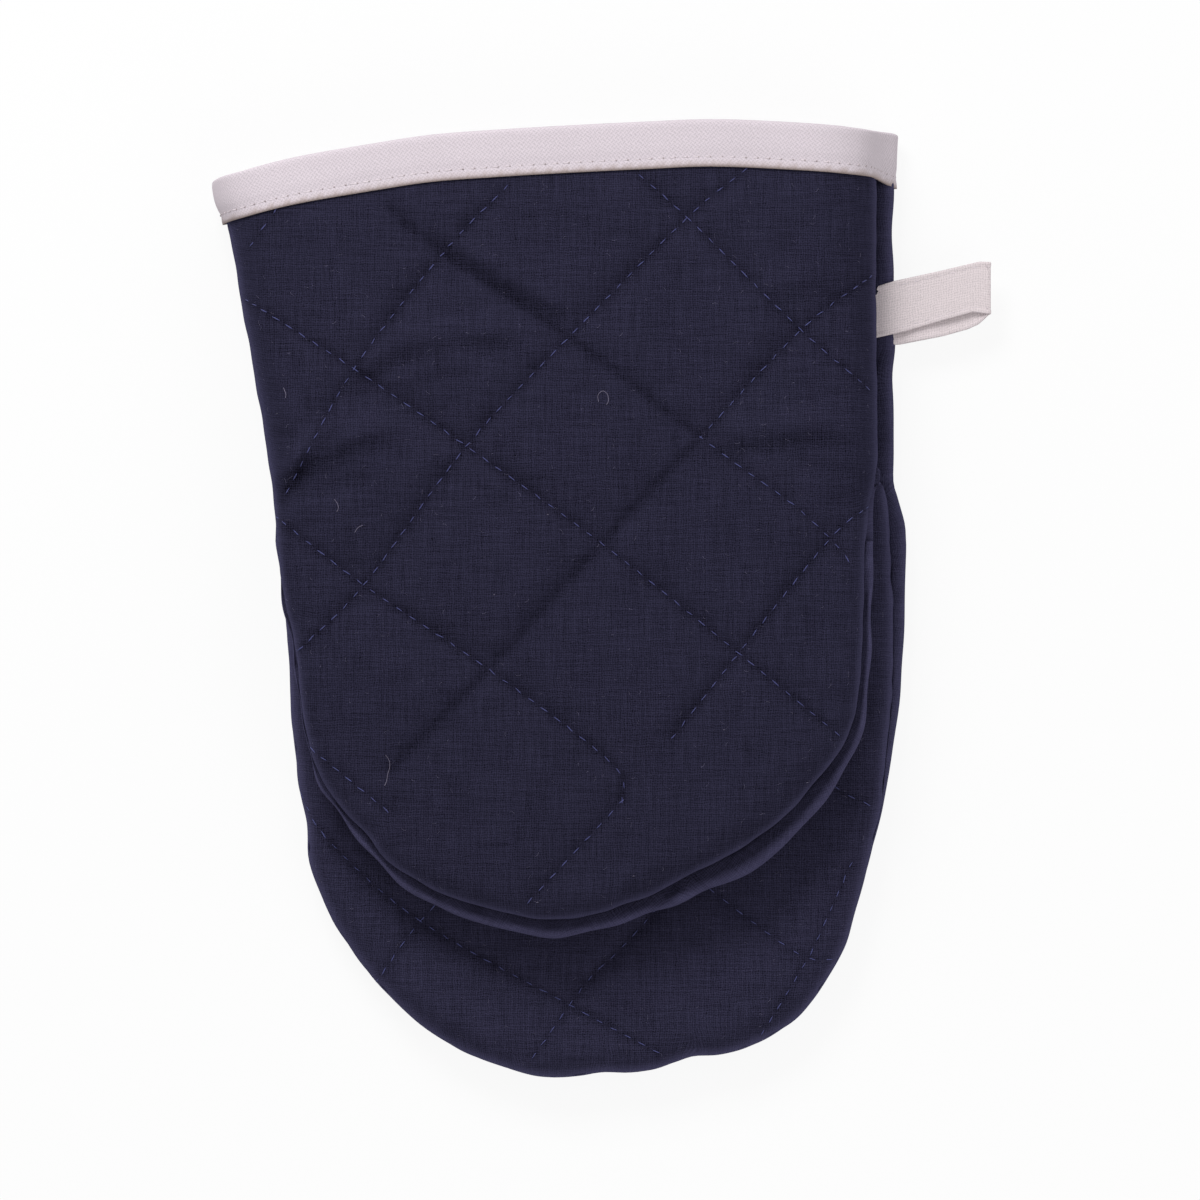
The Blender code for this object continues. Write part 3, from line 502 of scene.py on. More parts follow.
@dataclass
class Panel:
    """A quilted panel: a grid of points, and rings round it out to its seam.

    Sizes are in millimetres. up is 1 for a panel that faces up and -1 for one that faces down.
    wrap gives the rings past the outline: the share of the way to the other seam, and a height.
    lowest is the height at which a panel that faces down starts to flatten on what it lies on.
    """

    outline: Plan
    top: Height
    up: int
    level: Height
    rim: Height
    reach: Height
    quilting: Quilting
    ripples: Ripples
    corners: tuple[float, float] = (0.36, 0.66)
    columns: int = 130
    rows: int = 100
    roll: float = 9.0
    ring_count: int = 11
    crown: float = 1.5
    crown_reach: float = 45.0
    thickness: float = PANEL_THICKNESS
    fade: float = 8.0
    first: tuple[float, ...] = ()
    quilt_top: Height | None = None
    meets: Route | None = None
    lip: Height = constant(2.3)
    edge_reach: float = 1.7
    wrinkles: tuple[Wrinkle, ...] = ()
    seam_pucker: float = 0.22
    waver: float = 0.12
    groove: float = 0.0
    cut_at: float | None = None
    wrap: Plan = ((0.02, 0.7), (0.12, 1.3), (0.32, 1.8), (0.6, 2.1), (0.86, 2.3), (1.05, 2.5), (1.2, 0.3))
    lowest: float = 0.6

    def __post_init__(self) -> None:
        """Draws the seam and lays the rings and the grid inside it."""
        self.seam = Route(curve_through(self.outline))
        if self.cut_at is not None:
            self.seam = self.seam.cut_above(self.cut_at)
        left_length = self.seam.length * self.corners[0]
        shares = [value / left_length for value in self.first] or [0.0]
        rest = self.rows + 1 - len(shares)
        left = np.concatenate([shares, np.linspace(shares[-1], 1, rest + 1)[1:]])
        across = np.linspace(0, 1, self.columns + 1)
        low, high = self.corners
        tip = (low + across * (high - low))[1:-1]
        self.chain = np.concatenate([left * low, tip, (1 - left * (1 - high))[::-1]])
        angles = np.linspace(0, math.pi / 2, self.ring_count)
        self.insets = self.roll * (1 - np.sin(angles))
        self.rings = [self.ring(inset) for inset in self.insets]
        self.grid = self.inner_grid(across, left)

    def ring(self, inset: float) -> np.ndarray:
        """Plan points of the line that runs this far inside the seam."""
        window = 1.5 + 0.9 * inset
        draw = np.random.default_rng(40 + self.ripples.seed)
        wave = wavering(self.chain * self.seam.length, draw, 9.0, 26.0)
        shift = inset + (self.waver * wave * math.exp(-inset / 4.0))
        moved = self.seam.at(self.chain) + self.seam.inward(self.chain, window) * shift[:, None]
        for end, side in ((0, 1), (-1, -1)):
            moved[end, 0] = self.seam.at(self.chain[[end]])[0, 0] + side * inset
        for row, drop in enumerate(self.first or (0.0,)):
            for end in (row, -1 - row):
                moved[end, 1] = float(self.top(moved[end, 0])) - drop
        return moved

    def inner_grid(self, across: np.ndarray, down: np.ndarray) -> np.ndarray:
        """Rows of plan points inside the innermost ring, blended from its four edges."""
        ring = self.rings[0]
        left, right = ring[: self.rows + 1], ring[::-1][: self.rows + 1]
        above = []
        for row, drop in enumerate(self.first or (0.0,)):
            line = left[row] + (right[row] - left[row]) * across[:, None]
            line[:, 1] = self.top(line[:, 0]) - drop
            above.append(line)
        held = len(above) - 1
        left, right, top = left[held:], right[held:], above[-1]
        down = (down[held:] - down[held]) / (1 - down[held])
        u, v = across[None, :, None], down[:, None, None]
        low = ring[self.rows : self.rows + self.columns + 1]
        sides = (1 - u) * left[:, None] + u * right[:, None]
        ends = (1 - v) * top[None] + v * low[None]
        corners = (1 - v) * ((1 - u) * left[0] + u * right[0]) + v * (
            (1 - u) * left[-1] + u * right[-1]
        )
        return np.vstack([np.array(above[:-1]).reshape(-1, len(across), 2), sides + ends - corners])

    def surface(self, plan: np.ndarray, depth: np.ndarray, puffed: bool) -> np.ndarray:
        """Lifts plan points onto the panel's outer face.

        Args:
            plan: Plan points.
            depth: Each point's distance inside the seam.
            puffed: Whether the quilting's puffs are raised.

        Returns:
            Points in space.
        """
        x, y = plan[:, 0], plan[:, 1]
        rim, level, reach = self.rim(y), self.level(y), self.reach(y)
        left = 1 - np.clip(depth / reach, 0, 1)
        lip = self.lip(y)
        rolled = np.maximum(1 - left**lip, 0) ** (1 / lip)
        dome = 1 - (1 - np.clip(depth / self.crown_reach, 0, 1)) ** 2
        z = rim + (level + self.up * self.crown * dome - rim) * rolled
        if puffed:
            edge = self.quilt_top or self.top
            shown = smoothstep(np.minimum(depth / self.fade, (edge(x) - y) / self.fade))
            along = self.seam.place(plan)[:, 0]
            wave = wavering(along, np.random.default_rng(self.ripples.seed), 5.0, 15.0)
            drawn = self.seam_pucker * wave * np.exp(-depth / 6.0) * smoothstep(depth / 2.0)
            drawn = drawn * smoothstep((edge(x) - y) / self.fade)
            slack = sum(wrinkle.at(plan) for wrinkle in self.wrinkles)
            z = z + self.up * (shown * (self.quilting.at(plan) + self.ripples.at(plan) + slack) + drawn)
        if self.up < 0:
            z = np.where(z < self.lowest, self.lowest * np.exp((z - self.lowest) / self.lowest), z)
        return np.column_stack([x, y, z])

    def band(self) -> list[tuple[np.ndarray, np.ndarray]]:
        """Rings of cloth that wrap over the outline and in to the upper panel's seam.

        Returns:
            For each ring its inset from the outline and its height above the rim.
        """
        if self.meets is None:
            return []
        inset = np.clip(self.meets.distance(self.rings[-1]), 0.4, 6.0)
        wave = wavering(self.chain * self.seam.length, np.random.default_rng(61), 5.0, 14.0)
        high = 1 + 0.28 * wave
        down = float(self.top(np.zeros(1))[0]) - self.rings[-1][:, 1]
        sunk = self.groove * smoothstep((down - 3) / 14) * (1 + 0.4 * wave)
        return [
            (inset * share, lift * high - sunk * float(smoothstep((share - 0.25) / 0.6)))
            for share, lift in self.wrap
        ]

    def shell(self) -> Shell:
        """Builds the outer face, and notes where its lining goes.

        Returns:
            The shell. Its cloth array holds each point's place on the unrolled cloth.
        """
        rows, wide = self.rows + 1, self.columns + 1
        grid = self.grid.reshape(-1, 2)
        grid_depth = np.maximum(self.seam.distance(grid), self.roll)
        outer = [self.surface(grid, grid_depth, True)]
        held = (self.quilting.nearness(grid) > 0.3).reshape(rows, wide)
        held[: len(self.first) + 3] = True
        laid = outer[0].reshape(rows, wide, 3) * (1, 1, self.up)
        outer[0] = outer[0] + (Settling().moves(laid, held) * (1, 1, self.up)).reshape(-1, 3)
        plain = [self.surface(grid, grid_depth, False)]
        cloth = [grid]
        for inset, ring in zip(self.insets[1:], self.rings[1:]):
            depth = np.full(len(ring), inset)
            outer.append(self.surface(ring, depth, True))
            plain.append(self.surface(ring, depth, False))
        rim_ring = self.rings[-1]
        inwards = self.seam.inward(self.chain, 2.5)
        for inset, lift in self.band():
            moved = rim_ring + inwards * inset[:, None]
            for end in (0, -1):
                moved[end, 1] = float(self.top(moved[end, 0]))
            z = self.rim(moved[:, 1]) - self.up * lift
            outer.append(np.column_stack([moved, z]))
        index = np.arange(rows * wide).reshape(rows, wide)
        inner_chain = np.concatenate([index[:, 0], index[-1, 1:-1], index[::-1, -1]])
        chains = [inner_chain]
        count = rows * wide
        place = grid[inner_chain]
        out = -inwards
        before = outer[0][inner_chain]
        for points in outer[1:]:
            chains.append(np.arange(count, count + len(points)))
            count += len(points)
            place = place + out * np.linalg.norm(points - before, axis=1)[:, None]
            cloth.append(place)
            before = points
        faces = [
            (index[r, c], index[r + 1, c], index[r + 1, c + 1], index[r, c + 1])
            for r in range(self.rows)
            for c in range(self.columns)
        ]
        for a, b in zip(chains, chains[1:]):
            faces += [(a[k], b[k], b[k + 1], a[k + 1]) for k in range(len(a) - 1)]
        self.top_row = np.array([c[0] for c in chains[:0:-1]] + list(index[0]) + [c[-1] for c in chains[1:]])
        self.columns_down = [
            np.array([c[k] for c in chains[:0:-1]] + list(index[k]) + [c[-1 - k] for c in chains[1:]])
            for k in range(len(self.first))
        ]
        shell = Shell(np.vstack(outer), faces, np.vstack(cloth))
        # The edge mark lightens the cloth's tone near the seam: partly lint and fuzz, partly a painted
        # highlight for the rolled rim's sheen.
        shell.edge = np.exp(-((self.seam.distance(shell.points[:, :2]) / self.edge_reach) ** 2))
        if self.up < 0:
            shell.faces = [face[::-1] for face in shell.faces]
        self.line(shell, np.vstack(plain), chains)
        return shell

    def line(self, shell: Shell, plain: np.ndarray, chains: list[np.ndarray]) -> None:
        """Notes where each outer point's lining point goes: its own, or on the band the rim's."""
        shell.plain = plain
        base = len(plain)
        rim = chains[self.ring_count - 1]
        alias = {int(k): int(k) for k in range(base)}
        for chain in chains[self.ring_count :]:
            alias.update({int(k): int(r) for k, r in zip(chain, rim)})
        shell.lining = alias


@dataclass(frozen=True)
class Settling:
    """Cloth simulation of a panel's outer cloth, held at its seams and channels.

    The cloth is a little larger than the padding under it and pressed from below, so it buckles
    between the stitches. It runs on a coarser grid, in centimetres. Its moves are capped, and most
    of what they do over a whole diamond is taken away, so that only the buckles stay.
    """

    slack: float = 0.035
    pressure: float = 0.6
    frames: int = 16
    most: float = 0.9
    step: int = 3
    even_passes: int = 12
    evened: float = 0.8

    def moves(self, points: np.ndarray, held: np.ndarray) -> np.ndarray:
        """Simulates the cloth.

        Args:
            points: The cloth's points in millimetres, by row and column.
            held: Which of them are sewn down.

        Returns:
            How far each point moves, in millimetres, by row and column.
        """
        rows, columns = np.arange(0, points.shape[0], self.step), np.arange(0, points.shape[1], self.step)
        coarse = points[np.ix_(rows, columns)]
        high, wide = coarse.shape[:2]
        index = np.arange(high * wide).reshape(high, wide)
        corners = [index[:-1, :-1], index[1:, :-1], index[1:, 1:], index[:-1, 1:]]
        faces = np.stack(corners, axis=-1).reshape(-1, 4)
        mesh = bpy.data.meshes.new("settling")
        mesh.from_pydata((coarse.reshape(-1, 3) / 10).tolist(), [], faces.tolist())
        cloth = bpy.data.objects.new("settling", mesh)
        bpy.context.scene.collection.objects.link(cloth)
        group = cloth.vertex_groups.new(name="held")
        sewn = held[np.ix_(rows, columns)].copy()
        sewn[[0, -1]] = True
        sewn[:, [0, -1]] = True
        group.add([int(k) for k in index[sewn]], 1.0, "REPLACE")
        modifier = cloth.modifiers.new("settling", "CLOTH")
        settings = modifier.settings
        settings.quality = 5
        settings.mass = 0.3
        settings.tension_stiffness = settings.compression_stiffness = 20
        settings.shear_stiffness = 8
        settings.bending_stiffness = 1.2
        settings.vertex_group_mass = "held"
        settings.use_pressure = True
        settings.uniform_pressure_force = self.pressure
        settings.shrink_min = -self.slack
        settings.effector_weights.gravity = 0
        modifier.collision_settings.use_collision = False
        for frame_number in range(1, self.frames + 1):
            bpy.context.scene.frame_set(frame_number)
        made = cloth.evaluated_get(bpy.context.evaluated_depsgraph_get()).to_mesh()
        found = np.empty(len(mesh.vertices) * 3)
        made.vertices.foreach_get("co", found)
        moved = found.reshape(high, wide, 3) * 10 - coarse
        bpy.data.objects.remove(cloth)
        bpy.context.scene.frame_set(1)
        length = np.linalg.norm(moved, axis=2, keepdims=True)
        LOG.info("settling: %d points, moves up to %.2f mm", high * wide, float(length.max()))
        moved = moved * np.minimum(1, self.most / np.maximum(length, 1e-6))
        mean = moved.copy()
        for _ in range(self.even_passes):
            for axis in (0, 1):
                mean = (np.roll(mean, 1, axis) + 2 * mean + np.roll(mean, -1, axis)) / 4
        down, over = np.indices((high, wide))
        inside_by = np.minimum(np.minimum(down, high - 1 - down), np.minimum(over, wide - 1 - over))
        moved = (moved - self.evened * mean) * smoothstep((inside_by - 1) / 4)[..., None]
        return self.spread(moved, rows, columns, points.shape[:2])

    @staticmethod
    def spread(
        coarse: np.ndarray, rows: np.ndarray, columns: np.ndarray, shape: tuple[int, int]
    ) -> np.ndarray:
        """Reads the coarse grid's moves at every row and column, smoothly between its own."""
        high, wide = shape
        down = np.stack(
            [
                [np.interp(np.arange(high), rows, coarse[:, c, k]) for c in range(len(columns))]
                for k in range(3)
            ],
            -1,
        )
        fine = np.stack(
            [
                [np.interp(np.arange(wide), columns, down[:, r, k]) for r in range(high)]
                for k in range(3)
            ],
            -1,
        )
        for axis in (0, 1):
            for _ in range(3):
                fine = (np.roll(fine, 1, axis) + 2 * fine + np.roll(fine, -1, axis)) / 4
        fine[[0, -1]] = 0
        fine[:, [0, -1]] = 0
        return fine


def normals_of(points: np.ndarray, faces: Sequence[tuple[int, ...]]) -> np.ndarray:
    """Smooth normals of a mesh.

    Args:
        points: The mesh's points.
        faces: Its faces, as point numbers.

    Returns:
        One unit normal a point.
    """
    total = np.zeros_like(points)
    for corners in (3, 4):
        some = np.array([f for f in faces if len(f) == corners])
        if not len(some):
            continue
        cross = np.cross(points[some[:, 2]] - points[some[:, 0]], points[some[:, -1]] - points[some[:, 1]])
        for k in range(corners):
            np.add.at(total, some[:, k], cross)
    return total / np.maximum(np.linalg.norm(total, axis=1), 1e-9)[:, None]


def tidy(face: Sequence[int]) -> tuple[int, ...]:
    """Drops a face's repeated corners."""
    return tuple(dict.fromkeys(int(corner) for corner in face))


def within(places: np.ndarray, targets: np.ndarray, reach: float) -> np.ndarray:
    """Tells which places are near a target.

    Args:
        places: Places seen from above, in millimetres.
        targets: The targets, the same way.
        reach: How near, in millimetres.

    Returns:
        True for each place within that reach of any target.
    """
    near = np.zeros(len(places), bool)
    for start in range(0, len(places), 4000):
        part = places[start : start + 4000, None] - targets
        near[start : start + 4000] = (part**2).sum(2).min(1) < reach**2
    return near


def close_shell(shell: Shell, thickness: float) -> tuple[np.ndarray, list[tuple[int, ...]], np.ndarray, int]:
    """Adds the lining to an outer face and closes the edge between them.

    Args:
        shell: The outer face.
        thickness: How far inside it the lining lies.

    Returns:
        All points, all faces, the cloth's places and how many faces are the outer cloth's.
    """
    plain_faces = [tidy([shell.lining[int(k)] for k in f]) for f in shell.faces]
    plain_faces = [f for f in plain_faces if len(f) > 2]
    inner = shell.plain - normals_of(shell.plain, plain_faces) * thickness
    start = len(shell.points)
    partner = {a: start + b for a, b in shell.lining.items()}
    faces = list(shell.faces)
    used: dict[tuple[int, int], tuple[int, int]] = {}
    for face in shell.faces:
        for a, b in zip(face, (*face[1:], face[0])):
            key = (min(a, b), max(a, b))
            if key in used:
                used[key] = (-1, -1)
            else:
                used[key] = (int(a), int(b))
    for a, b in used.values():
        if a < 0:
            continue
        made = tidy([b, a, partner[a], partner[b]])
        if len(made) > 2:
            faces.append(made)
    points = np.vstack([shell.points, inner])
    lined = [tidy([partner[int(k)] for k in reversed(face)]) for face in shell.faces]
    lined = [face for face in lined if len(face) > 2]
    rim = shell.points[sorted({k for edge in used.values() if edge[0] >= 0 for k in edge}), :2]
    turned_in = within(np.array([points[list(face), :2].mean(0) for face in lined]), rim, SEAM_ALLOWANCE)
    faces += [face for face, turned in zip(lined, turned_in) if turned]
    outside = len(faces)
    faces += [face for face, turned in zip(lined, turned_in) if not turned]
    inner_cloth = np.zeros((len(inner), 2))
    for a, b in reversed(list(shell.lining.items())):
        inner_cloth[b] = shell.cloth[a]
    cloth = np.vstack([shell.cloth, inner_cloth])
    return points, faces, cloth, outside


def make_object(
    name: str,
    points: np.ndarray,
    faces: Sequence[tuple[int, ...]],
    materials: Sequence[bpy.types.Material],
    cloth: np.ndarray | None = None,
    outer_faces: int | None = None,
    marks: dict[str, np.ndarray] | None = None,
) -> bpy.types.Object:
    """Makes a smooth mesh object from points in millimetres.

    Args:
        name: The piece's name.
        points: Its points, in millimetres.
        faces: Its faces.
        materials: One material, or the outer cloth's and the lining's.
        cloth: Each point's place on the unrolled cloth, in millimetres, for the UV map.
        outer_faces: How many faces take the first material. The rest take the second.
        marks: Point attributes by name.

    Returns:
        The object, at the origin.
    """
    mesh = bpy.data.meshes.new(name)
    mesh.from_pydata((points * MM).tolist(), [], [tuple(int(k) for k in f) for f in faces])
    for material in materials:
        mesh.materials.append(material)
    if outer_faces is not None and len(materials) > 1:
        index = np.ones(len(mesh.polygons), np.int32)
        index[:outer_faces] = 0
        mesh.polygons.foreach_set("material_index", index)
    if cloth is not None:
        corner = np.zeros(len(mesh.loops), np.int32)
        mesh.loops.foreach_get("vertex_index", corner)
        mesh.uv_layers.new(name="cloth").data.foreach_set("uv", (cloth[corner] / 100).ravel())
    for key, values in (marks or {}).items():
        mesh.attributes.new(key, "FLOAT", "POINT").data.foreach_set("value", values.astype(np.float32))
    mesh.shade_smooth()
    mesh.update()
    obj = bpy.data.objects.new(name, mesh)
    bpy.context.scene.collection.objects.link(obj)
    return obj


def cuff_share(y: np.ndarray) -> np.ndarray:
    """How far up the cuff this y lies, eased, from 0 at the hinge to 1 at the mouth."""
    return smoothstep((y - HINGE_Y) / (CUFF_TOP - HINGE_Y))


def split_share(y: np.ndarray) -> np.ndarray:
    """How far the jaws have parted at this y, from 0 on the cuff to 1 on the thumb pocket."""
    return smoothstep((CROTCH_Y - y) / PARTING_RUN)


@dataclass(frozen=True)
class NodeGraph:
    """Short calls for building a material's or a group's nodes."""

    tree: bpy.types.NodeTree

    def put(self, socket: bpy.types.NodeSocket, value: object) -> None:
        """Links a socket to the one that feeds it, or sets its value."""
        if isinstance(value, bpy.types.NodeSocket):
            self.tree.links.new(value, socket)
        else:
            socket.default_value = value

    def add(self, kind: str, spots: dict[int, object] | None = None, **values: object) -> bpy.types.Node:
        """Adds a node.

        Args:
            kind: Its type.
            spots: Inputs by number, where several share a name.
            **values: Settings, and inputs by socket name with spaces as underscores.

        Returns:
            The node.
        """
        node = self.tree.nodes.new(kind)
        for key, value in values.items():
            if hasattr(node, key):
                setattr(node, key, value)
            else:
                self.put(node.inputs[key.replace("_", " ")], value)
        for spot, value in (spots or {}).items():
            self.put(node.inputs[spot], value)
        return node

    def math(self, operation: str, *values: object) -> bpy.types.NodeSocket:
        """Adds a math node and gives its result.

        Args:
            operation: What it does.
            *values: Its numbers or the sockets that they come from.

        Returns:
            The result.
        """
        return self.add("ShaderNodeMath", dict(enumerate(values)), operation=operation).outputs[0]

    def times(self, a: object, b: object) -> bpy.types.NodeSocket:
        """The product of two values."""
        return self.math("MULTIPLY", a, b)

    def plus(self, a: object, b: object) -> bpy.types.NodeSocket:
        """The sum of two values."""
        return self.math("ADD", a, b)

    def less(self, a: object, b: object) -> bpy.types.NodeSocket:
        """The first value less the second."""
        return self.math("SUBTRACT", a, b)

    def mix(self, factor: object, a: object, b: object, kind: str = "RGBA") -> bpy.types.NodeSocket:
        """Mixes two colours or numbers.

        Args:
            factor: Share of the second.
            a: The first.
            b: The second.
            kind: RGBA or FLOAT.

        Returns:
            The mixed value.
        """
        *spots, result = {"RGBA": (0, 6, 7, 2), "FLOAT": (0, 2, 3, 0)}[kind]
        node = self.add("ShaderNodeMix", dict(zip(spots, (factor, a, b))), data_type=kind)
        return node.outputs[result]


class Weave(Enum):
    """How a cloth is woven."""

    PLAIN = 0.0
    TWILL = 1.0


def weave_group() -> bpy.types.NodeTree:
    """Builds the woven cloth's group once: threads over and under, slubs, and a height.

    Returns:
        The group. Its outputs are the threads' shade and their height.
    """
    known = bpy.data.node_groups.get("woven_threads")
    if known:
        return known
    tree = bpy.data.node_groups.new("woven_threads", "ShaderNodeTree")
    face = tree.interface
    face.new_socket("Cloth", in_out="INPUT", socket_type="NodeSocketVector")
    for name, value in (("Threads", 180.0), ("Slant", 0.0), ("Slub", 0.5)):
        face.new_socket(name, in_out="INPUT", socket_type="NodeSocketFloat").default_value = value
    face.new_socket("Shade", in_out="OUTPUT", socket_type="NodeSocketFloat")
    face.new_socket("Height", in_out="OUTPUT", socket_type="NodeSocketFloat")
    graph = NodeGraph(tree)
    source = graph.add("NodeGroupInput")
    cloth, threads, slant = (source.outputs[name] for name in ("Cloth", "Threads", "Slant"))
    apart = graph.add("ShaderNodeSeparateXYZ", Vector=cloth)
    wander = graph.add("ShaderNodeTexNoise", Scale=28.0, Detail=2.0, Vector=cloth)
    sway = graph.times(graph.less(wander.outputs["Fac"], 0.5), 0.012)
    u = graph.times(graph.plus(apart.outputs["X"], sway), threads)
    v = graph.times(graph.plus(apart.outputs["Y"], sway), threads)
    turned = graph.plus(u, graph.times(v, slant))
    crossed = graph.less(v, graph.times(u, slant))
    warp = graph.math("SINE", graph.times(turned, math.pi))
    weft = graph.math("SINE", graph.times(crossed, math.pi))
    checks = graph.times(warp, weft)
    across = graph.math("ABSOLUTE", graph.math("COSINE", graph.times(turned, math.pi)))
    along = graph.math("ABSOLUTE", graph.math("COSINE", graph.times(crossed, math.pi)))
    over = graph.mix(graph.math("GREATER_THAN", checks, 0.0), across, along, "FLOAT")
    rows = []
    for stretch in ((9.0, 175.0, 1.0), (175.0, 9.0, 1.0)):
        place = graph.add("ShaderNodeMapping", Scale=stretch, Vector=cloth)
        noise = graph.add(
            "ShaderNodeTexNoise", Scale=1.0, Detail=3.0, Roughness=0.6, Vector=place.outputs[0]
        )
        rows.append(noise.outputs["Fac"])
    slub = graph.times(graph.less(graph.plus(*rows), 1.0), source.outputs["Slub"])
    rough = graph.add("ShaderNodeTexNoise", Scale=165.0, Detail=3.0, Roughness=0.65, Vector=cloth)
    fuzz = graph.less(rough.outputs["Fac"], 0.5)
    shade = graph.plus(graph.times(graph.less(over, 0.64), 0.6), slub)
    shade = graph.plus(shade, graph.times(fuzz, 0.9))
    height = graph.plus(graph.times(over, 0.7), graph.times(fuzz, 0.9))
    graph.add("NodeGroupOutput", Shade=shade, Height=height)
    return tree


@dataclass(frozen=True)
class ClothFinish:
    """A woven cloth's finish."""

    name: str
    colour: tuple[float, float, float]
    threads: float
    weave: Weave = Weave.PLAIN
    contrast: float = 0.35
    slub: float = 0.6
    bump: float = 0.25
    relief: float = 0.00012
    roughness: float = 0.95
    sheen: float = 0.25
    sheen_tint: tuple[float, float, float] = (0.5, 0.48, 0.95)
    sheen_roughness: float = 0.35
    channel_painted_shade: float = 0.0
    edge_fuzz_and_painted_sheen: float = 0.0
    edge_tint: tuple[float, float, float] | None = None
    edge_share: float = 0.75
    faded: float = 0.12

    def material(self) -> bpy.types.Material:
        """Builds the cloth's material.

        Returns:
            The material, which reads the piece's cloth UV map.
        """
        material = bpy.data.materials.new(self.name)
        material.use_nodes = True
        tree = material.node_tree
        graph = NodeGraph(tree)
        shader = tree.nodes["Principled BSDF"]
        uv = graph.add("ShaderNodeUVMap", uv_map="cloth")
        group = graph.add(
            "ShaderNodeGroup", node_tree=weave_group(), Cloth=uv.outputs[0],
            Threads=self.threads, Slant=self.weave.value, Slub=self.slub,
        )
        patches = graph.add(
            "ShaderNodeTexNoise", Scale=4.5, Detail=3.0, Roughness=0.55, Vector=uv.outputs[0]
        )
        worn = graph.times(graph.less(patches.outputs["Fac"], 0.5), self.faded * 2)
        tone = graph.plus(graph.times(group.outputs["Shade"], self.contrast), worn)
        tone = graph.plus(tone, 1.0)
        # Painted shade: the tone is darkened along the quilted channels and in the wrinkles' valleys, and
        # lightened on their ridges as a painted highlight.
        if self.channel_painted_shade:
            mark = graph.add("ShaderNodeAttribute", attribute_name="channel")
            tone = graph.less(tone, graph.times(mark.outputs["Fac"], self.channel_painted_shade))
        scale = graph.add("ShaderNodeVectorMath", {0: self.colour}, operation="SCALE")
        colour = scale.outputs[0]
        if self.edge_tint:
            rim = graph.add("ShaderNodeAttribute", attribute_name="edge")
            share = graph.times(rim.outputs["Fac"], self.edge_share)
            colour = graph.mix(share, colour, (*self.edge_tint, 1))
        # Partly lint and fuzz, partly painted highlight: the tone is lightened near the seams, where the
        # rolled rim would catch sheen.
        if self.edge_fuzz_and_painted_sheen:
            rim = graph.add("ShaderNodeAttribute", attribute_name="edge")
            tone = graph.plus(tone, graph.times(rim.outputs["Fac"], self.edge_fuzz_and_painted_sheen))
        tree.links.new(tone, scale.inputs["Scale"])
        tree.links.new(colour, shader.inputs["Base Color"])
        bump = graph.add(
            "ShaderNodeBump", Strength=self.bump, Distance=self.relief, Height=group.outputs["Height"]
        )
        tree.links.new(bump.outputs[0], shader.inputs["Normal"])
        for name, value in (
            ("Roughness", self.roughness), ("Specular IOR Level", 0.0), ("Sheen Weight", self.sheen),
            ("Sheen Roughness", self.sheen_roughness), ("Sheen Tint", (*self.sheen_tint, 1)),
        ):
            shader.inputs[name].default_value = value
        material.diffuse_color = (*self.colour, 1)
        return material


@dataclass(frozen=True)
class ThreadFinish:
    """Plain spun thread or fibre."""

    name: str
    colour: tuple[float, float, float]
    roughness: float = 0.7

    def material(self) -> bpy.types.Material:
        """Builds the thread's material.

        Returns:
            The material.
        """
        material = bpy.data.materials.new(self.name)
        material.use_nodes = True
        tree = material.node_tree
        graph = NodeGraph(tree)
        shader = tree.nodes["Principled BSDF"]
        where = graph.add("ShaderNodeTexCoord")
        noise = graph.add("ShaderNodeTexNoise", Scale=900.0, Detail=2.0, Vector=where.outputs["Object"])
        dark = tuple(0.7 * c for c in self.colour)
        light = tuple(min(1.0, 1.3 * c) for c in self.colour)
        graph.put(shader.inputs["Base Color"], graph.mix(noise.outputs["Fac"], (*dark, 1), (*light, 1)))
        shader.inputs["Roughness"].default_value = self.roughness
        shader.inputs["Specular IOR Level"].default_value = 0.3
        material.diffuse_color = (*self.colour, 1)
        return material


# The navy's tone carries painted shade in its channels and creases, and lint with a painted sheen highlight
# along its seams.
NAVY = ClothFinish(
    "navy_cotton", (0.0219, 0.0208, 0.0408), 168.0, contrast=1.45, slub=0.7, bump=0.5, relief=0.0002,
    sheen=0.08, channel_painted_shade=0.26, edge_fuzz_and_painted_sheen=1.25,
)
# A lighter copy of the front's navy for the palm and the back: the same cloth, painted lighter to stand in
# for how light falls on the lower panels.
PALM_NAVY_PAINTED_LIGHTER = replace(NAVY, name="palm_cotton_painted_lighter", colour=(0.0272, 0.0256, 0.0505))
LINING = ClothFinish("lining_cotton", (0.46, 0.45, 0.47), 168.0, contrast=0.4)
BINDING = ClothFinish(
    "cuff_tape", (0.648, 0.579, 0.626), 90.0, Weave.TWILL, contrast=0.42, slub=0.1, faded=0.04,
    sheen=0.05, sheen_tint=(1, 1, 1), bump=0.4, edge_tint=(0.30, 0.22, 0.18),
)
LOOP_TAPE = ClothFinish(
    "loop_tape", (0.716, 0.636, 0.652), 150.0, Weave.PLAIN, contrast=0.45, slub=0.2, faded=0.05,
    sheen=0.05, sheen_tint=(1, 1, 1), bump=0.4,
)
QUILT_THREAD = ThreadFinish("quilting_thread", (0.062, 0.066, 0.185))
TAPE_THREAD = ThreadFinish("tape_thread", (0.72, 0.65, 0.68))
# Painted shade: dark beads on the tape stand in for the shade inside the needle holes.
NEEDLE_HOLE_SHADE = ThreadFinish("needle_hole_shade", (0.42, 0.36, 0.37), 0.95)
LINT_FIBRE = ThreadFinish("lint_fibre", (0.14, 0.13, 0.21), 0.9)
PALE_THREAD = ThreadFinish("pale_thread", (0.15, 0.135, 0.20), 0.9)


